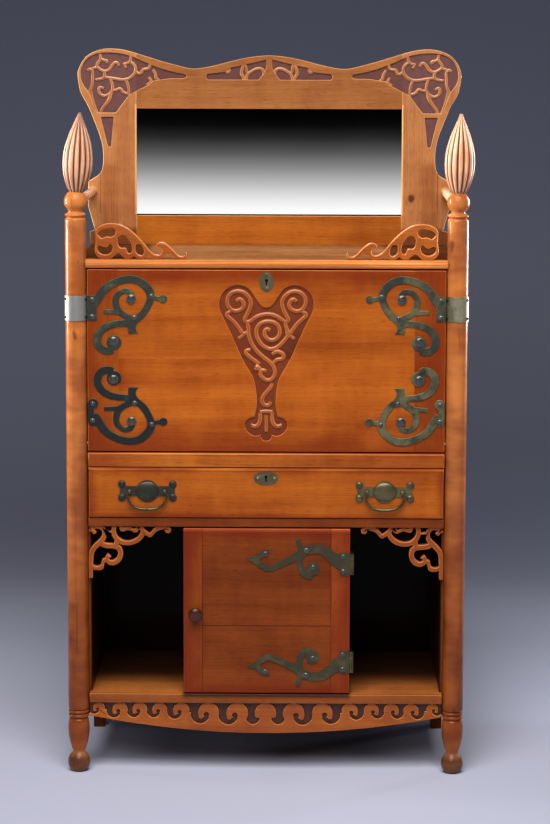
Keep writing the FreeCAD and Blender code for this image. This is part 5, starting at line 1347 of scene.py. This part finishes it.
def sweep_finish(name):
    """The pale floor that runs up into a darker backdrop; seen from behind, it is clear.

    It has painted light on the floor to the right of the desk, a painted shadow straight under
    it, and painted shade that darkens the backdrop upwards.
    """
    stage = bpy.context.scene.desk_stage
    finish = Finish(name)
    x, y, z = finish.place()
    speck = finish.noise(finish.vector(x, y, z), 60, 2)
    colour = finish.blend(finish.rise(y, 0.5, 2.4), stage.floor, stage.backdrop)
    # Painted shade: the backdrop darkens upwards.
    colour = finish.deepen(finish.rise(z, 0.7, 2.1), colour, (0.6, 0.6, 0.66))
    colour = finish.deepen(speck * 0.06, colour, (0.6, 0.6, 0.62))
    # Painted light on the floor to the right of the desk.
    right = finish.rise(x, 0.3, 0.62) * finish.rise(y, -0.1, 0.5) * finish.drop(z, 0.02, 0.3)
    colour = finish.deepen(right, colour, (1.36, 1.38, 1.4))
    # A painted shadow on the floor straight under the desk.
    under = finish.drop(x.size(), 0.2, 0.42) * finish.rise(y, -0.11, -0.03)
    colour = finish.deepen(under * finish.drop(y, 0.25, 0.45), colour, (0.3, 0.3, 0.32))
    behind = finish.node("ShaderNodeNewGeometry", out="Backfacing")
    return finish.close({"Base Color": colour, "Roughness": 0.85, "Alpha": 1 - behind})


def studio_air():
    """Dim air; glossy rays see the far end of the studio fade upwards from the horizon."""
    world = bpy.data.worlds.new("studio_air")
    world.use_nodes = True
    finish = Finish("studio_air", world.node_tree)
    height = finish.parts(finish.node("ShaderNodeTexCoord", out="Generated"))[2]
    far = finish.ramp(finish.node("ShaderNodeMapRange", sockets={
        "Value": height, "From Min": FAR_LOW, "From Max": FAR_HIGH}), FAR_END)
    glossy = finish.node("ShaderNodeLightPath", out="Is Glossy Ray")
    air = finish.node("ShaderNodeBackground", sockets={0: AIR_TINT, 1: AIR_GLOW})
    glow = finish.node("ShaderNodeBackground", sockets={0: far, 1: FAR_GLOW})
    finish.end_in(finish.node("ShaderNodeMixShader", sockets={0: glossy, 1: air, 2: glow}))
    return world


def studio_sweep():
    """A floor that bends up into a backdrop behind the desk."""
    clear_selection()
    bpy.ops.mesh.primitive_plane_add(size=2, location=(0, FLOOR_MIDDLE, 0))
    floor = bpy.context.object
    floor.name = "studio_sweep"
    floor.scale = (*FLOOR_HALF, 1)
    fix_place()
    bpy.ops.object.mode_set(mode="EDIT")
    bpy.ops.mesh.select_mode(type="EDGE")
    back = FLOOR_MIDDLE + FLOOR_HALF[1]

    def pick_back():
        """Selects the edge where the floor ends."""
        bpy.ops.mesh.select_all(action="DESELECT")
        net = bmesh.from_edit_mesh(floor.data)
        for edge in net.edges:
            edge.select_set(all(
                abs(vert.co.y - back) < 0.1 and vert.co.z < 0.1 for vert in edge.verts))
        bmesh.update_edit_mesh(floor.data)
    pick_back()
    bpy.ops.mesh.extrude_region_move(TRANSFORM_OT_translate={"value": BACKDROP_RISE})
    pick_back()
    bpy.ops.mesh.bevel(offset=BEND, segments=12, affect="EDGES")
    bpy.ops.object.mode_set(mode="OBJECT")
    floor.data.materials.append(sweep_finish("studio_sweep_paint"))
    smooth(floor, 60)
    return floor


def hang_lamp(name, place, aim, width, height, power, spread):
    lamp = bpy.data.lights.new(name, "AREA")
    lamp.shape = "RECTANGLE"
    lamp.size, lamp.size_y, lamp.energy = width, height, power
    lamp.spread = math.radians(spread)
    holder = bpy.data.objects.new(name, lamp)
    bpy.context.scene.collection.objects.link(holder)
    holder.location = place
    holder.rotation_euler = (Vector(aim) - Vector(place)).to_track_quat("-Z", "Y").to_euler()


def front_camera(stage):
    """The camera, turned by its pitch, yaw and roll."""
    lens = bpy.data.cameras.new("front_camera")
    lens.sensor_fit = "VERTICAL"
    lens.sensor_height = SENSOR_HEIGHT
    lens.lens = FOCAL_LENGTH
    lens.shift_x, lens.shift_y = LENS_SHIFT
    camera = bpy.data.objects.new("front_camera", lens)
    bpy.context.scene.collection.objects.link(camera)
    camera.matrix_world = (
        Matrix.Translation(stage.camera_place) @ Matrix.Rotation(-stage.yaw, 4, "Z")
        @ Matrix.Rotation(math.pi / 2 - stage.pitch, 4, "X")
        @ Matrix.Rotation(-stage.roll, 4, "Z"))
    return camera


class DESK_OT_stage(bpy.types.Operator):
    """Set the floor, the lamps, the world and the camera"""
    bl_idname = "desk.stage"
    bl_label = "Stage"

    def execute(self, context):
        floor = studio_sweep()
        for lamp in LAMPS:
            hang_lamp(*lamp)
        context.scene.world = studio_air()
        context.scene.camera = front_camera(context.scene.desk_stage)
        context.scene.view_settings.view_transform = "Standard"
        return {"FINISHED"}


STEPS = (
    DESK_OT_fall, DESK_OT_fall_carving, DESK_OT_case_boards, DESK_OT_drawer, DESK_OT_door,
    DESK_OT_turnings, DESK_OT_mirror, DESK_OT_frets, DESK_OT_bronze, DESK_OT_bosses, DESK_OT_inside,
    DESK_OT_stage)


class DESK_PT_panel(bpy.types.Panel):
    """The steps that dress the desk"""
    bl_idname = "DESK_PT_panel"
    bl_label = "Drop front desk"
    bl_space_type = "VIEW_3D"
    bl_region_type = "UI"
    bl_category = "Desk"

    def draw(self, context):
        for step in STEPS:
            self.layout.operator(step.bl_idname)
        for group in (context.scene.desk_wood, context.scene.desk_metal, context.scene.desk_stage):
            box = self.layout.box()
            for key in group.__annotations__:
                box.prop(group, key)


CLASSES = (DeskWood, DeskMetal, DeskStage, *STEPS, DESK_PT_panel)


def register():
    for kind in CLASSES:
        bpy.utils.register_class(kind)
    bpy.types.Scene.desk_wood = PointerProperty(type=DeskWood)
    bpy.types.Scene.desk_metal = PointerProperty(type=DeskMetal)
    bpy.types.Scene.desk_stage = PointerProperty(type=DeskStage)


def unregister():
    del bpy.types.Scene.desk_stage
    del bpy.types.Scene.desk_metal
    del bpy.types.Scene.desk_wood
    for kind in reversed(CLASSES):
        bpy.utils.unregister_class(kind)


def main():
    register()
    for step in STEPS:
        group, name = step.bl_idname.split(".")
        getattr(getattr(bpy.ops, group), name)()
    clear_selection()


if __name__ == "__main__":
    main()
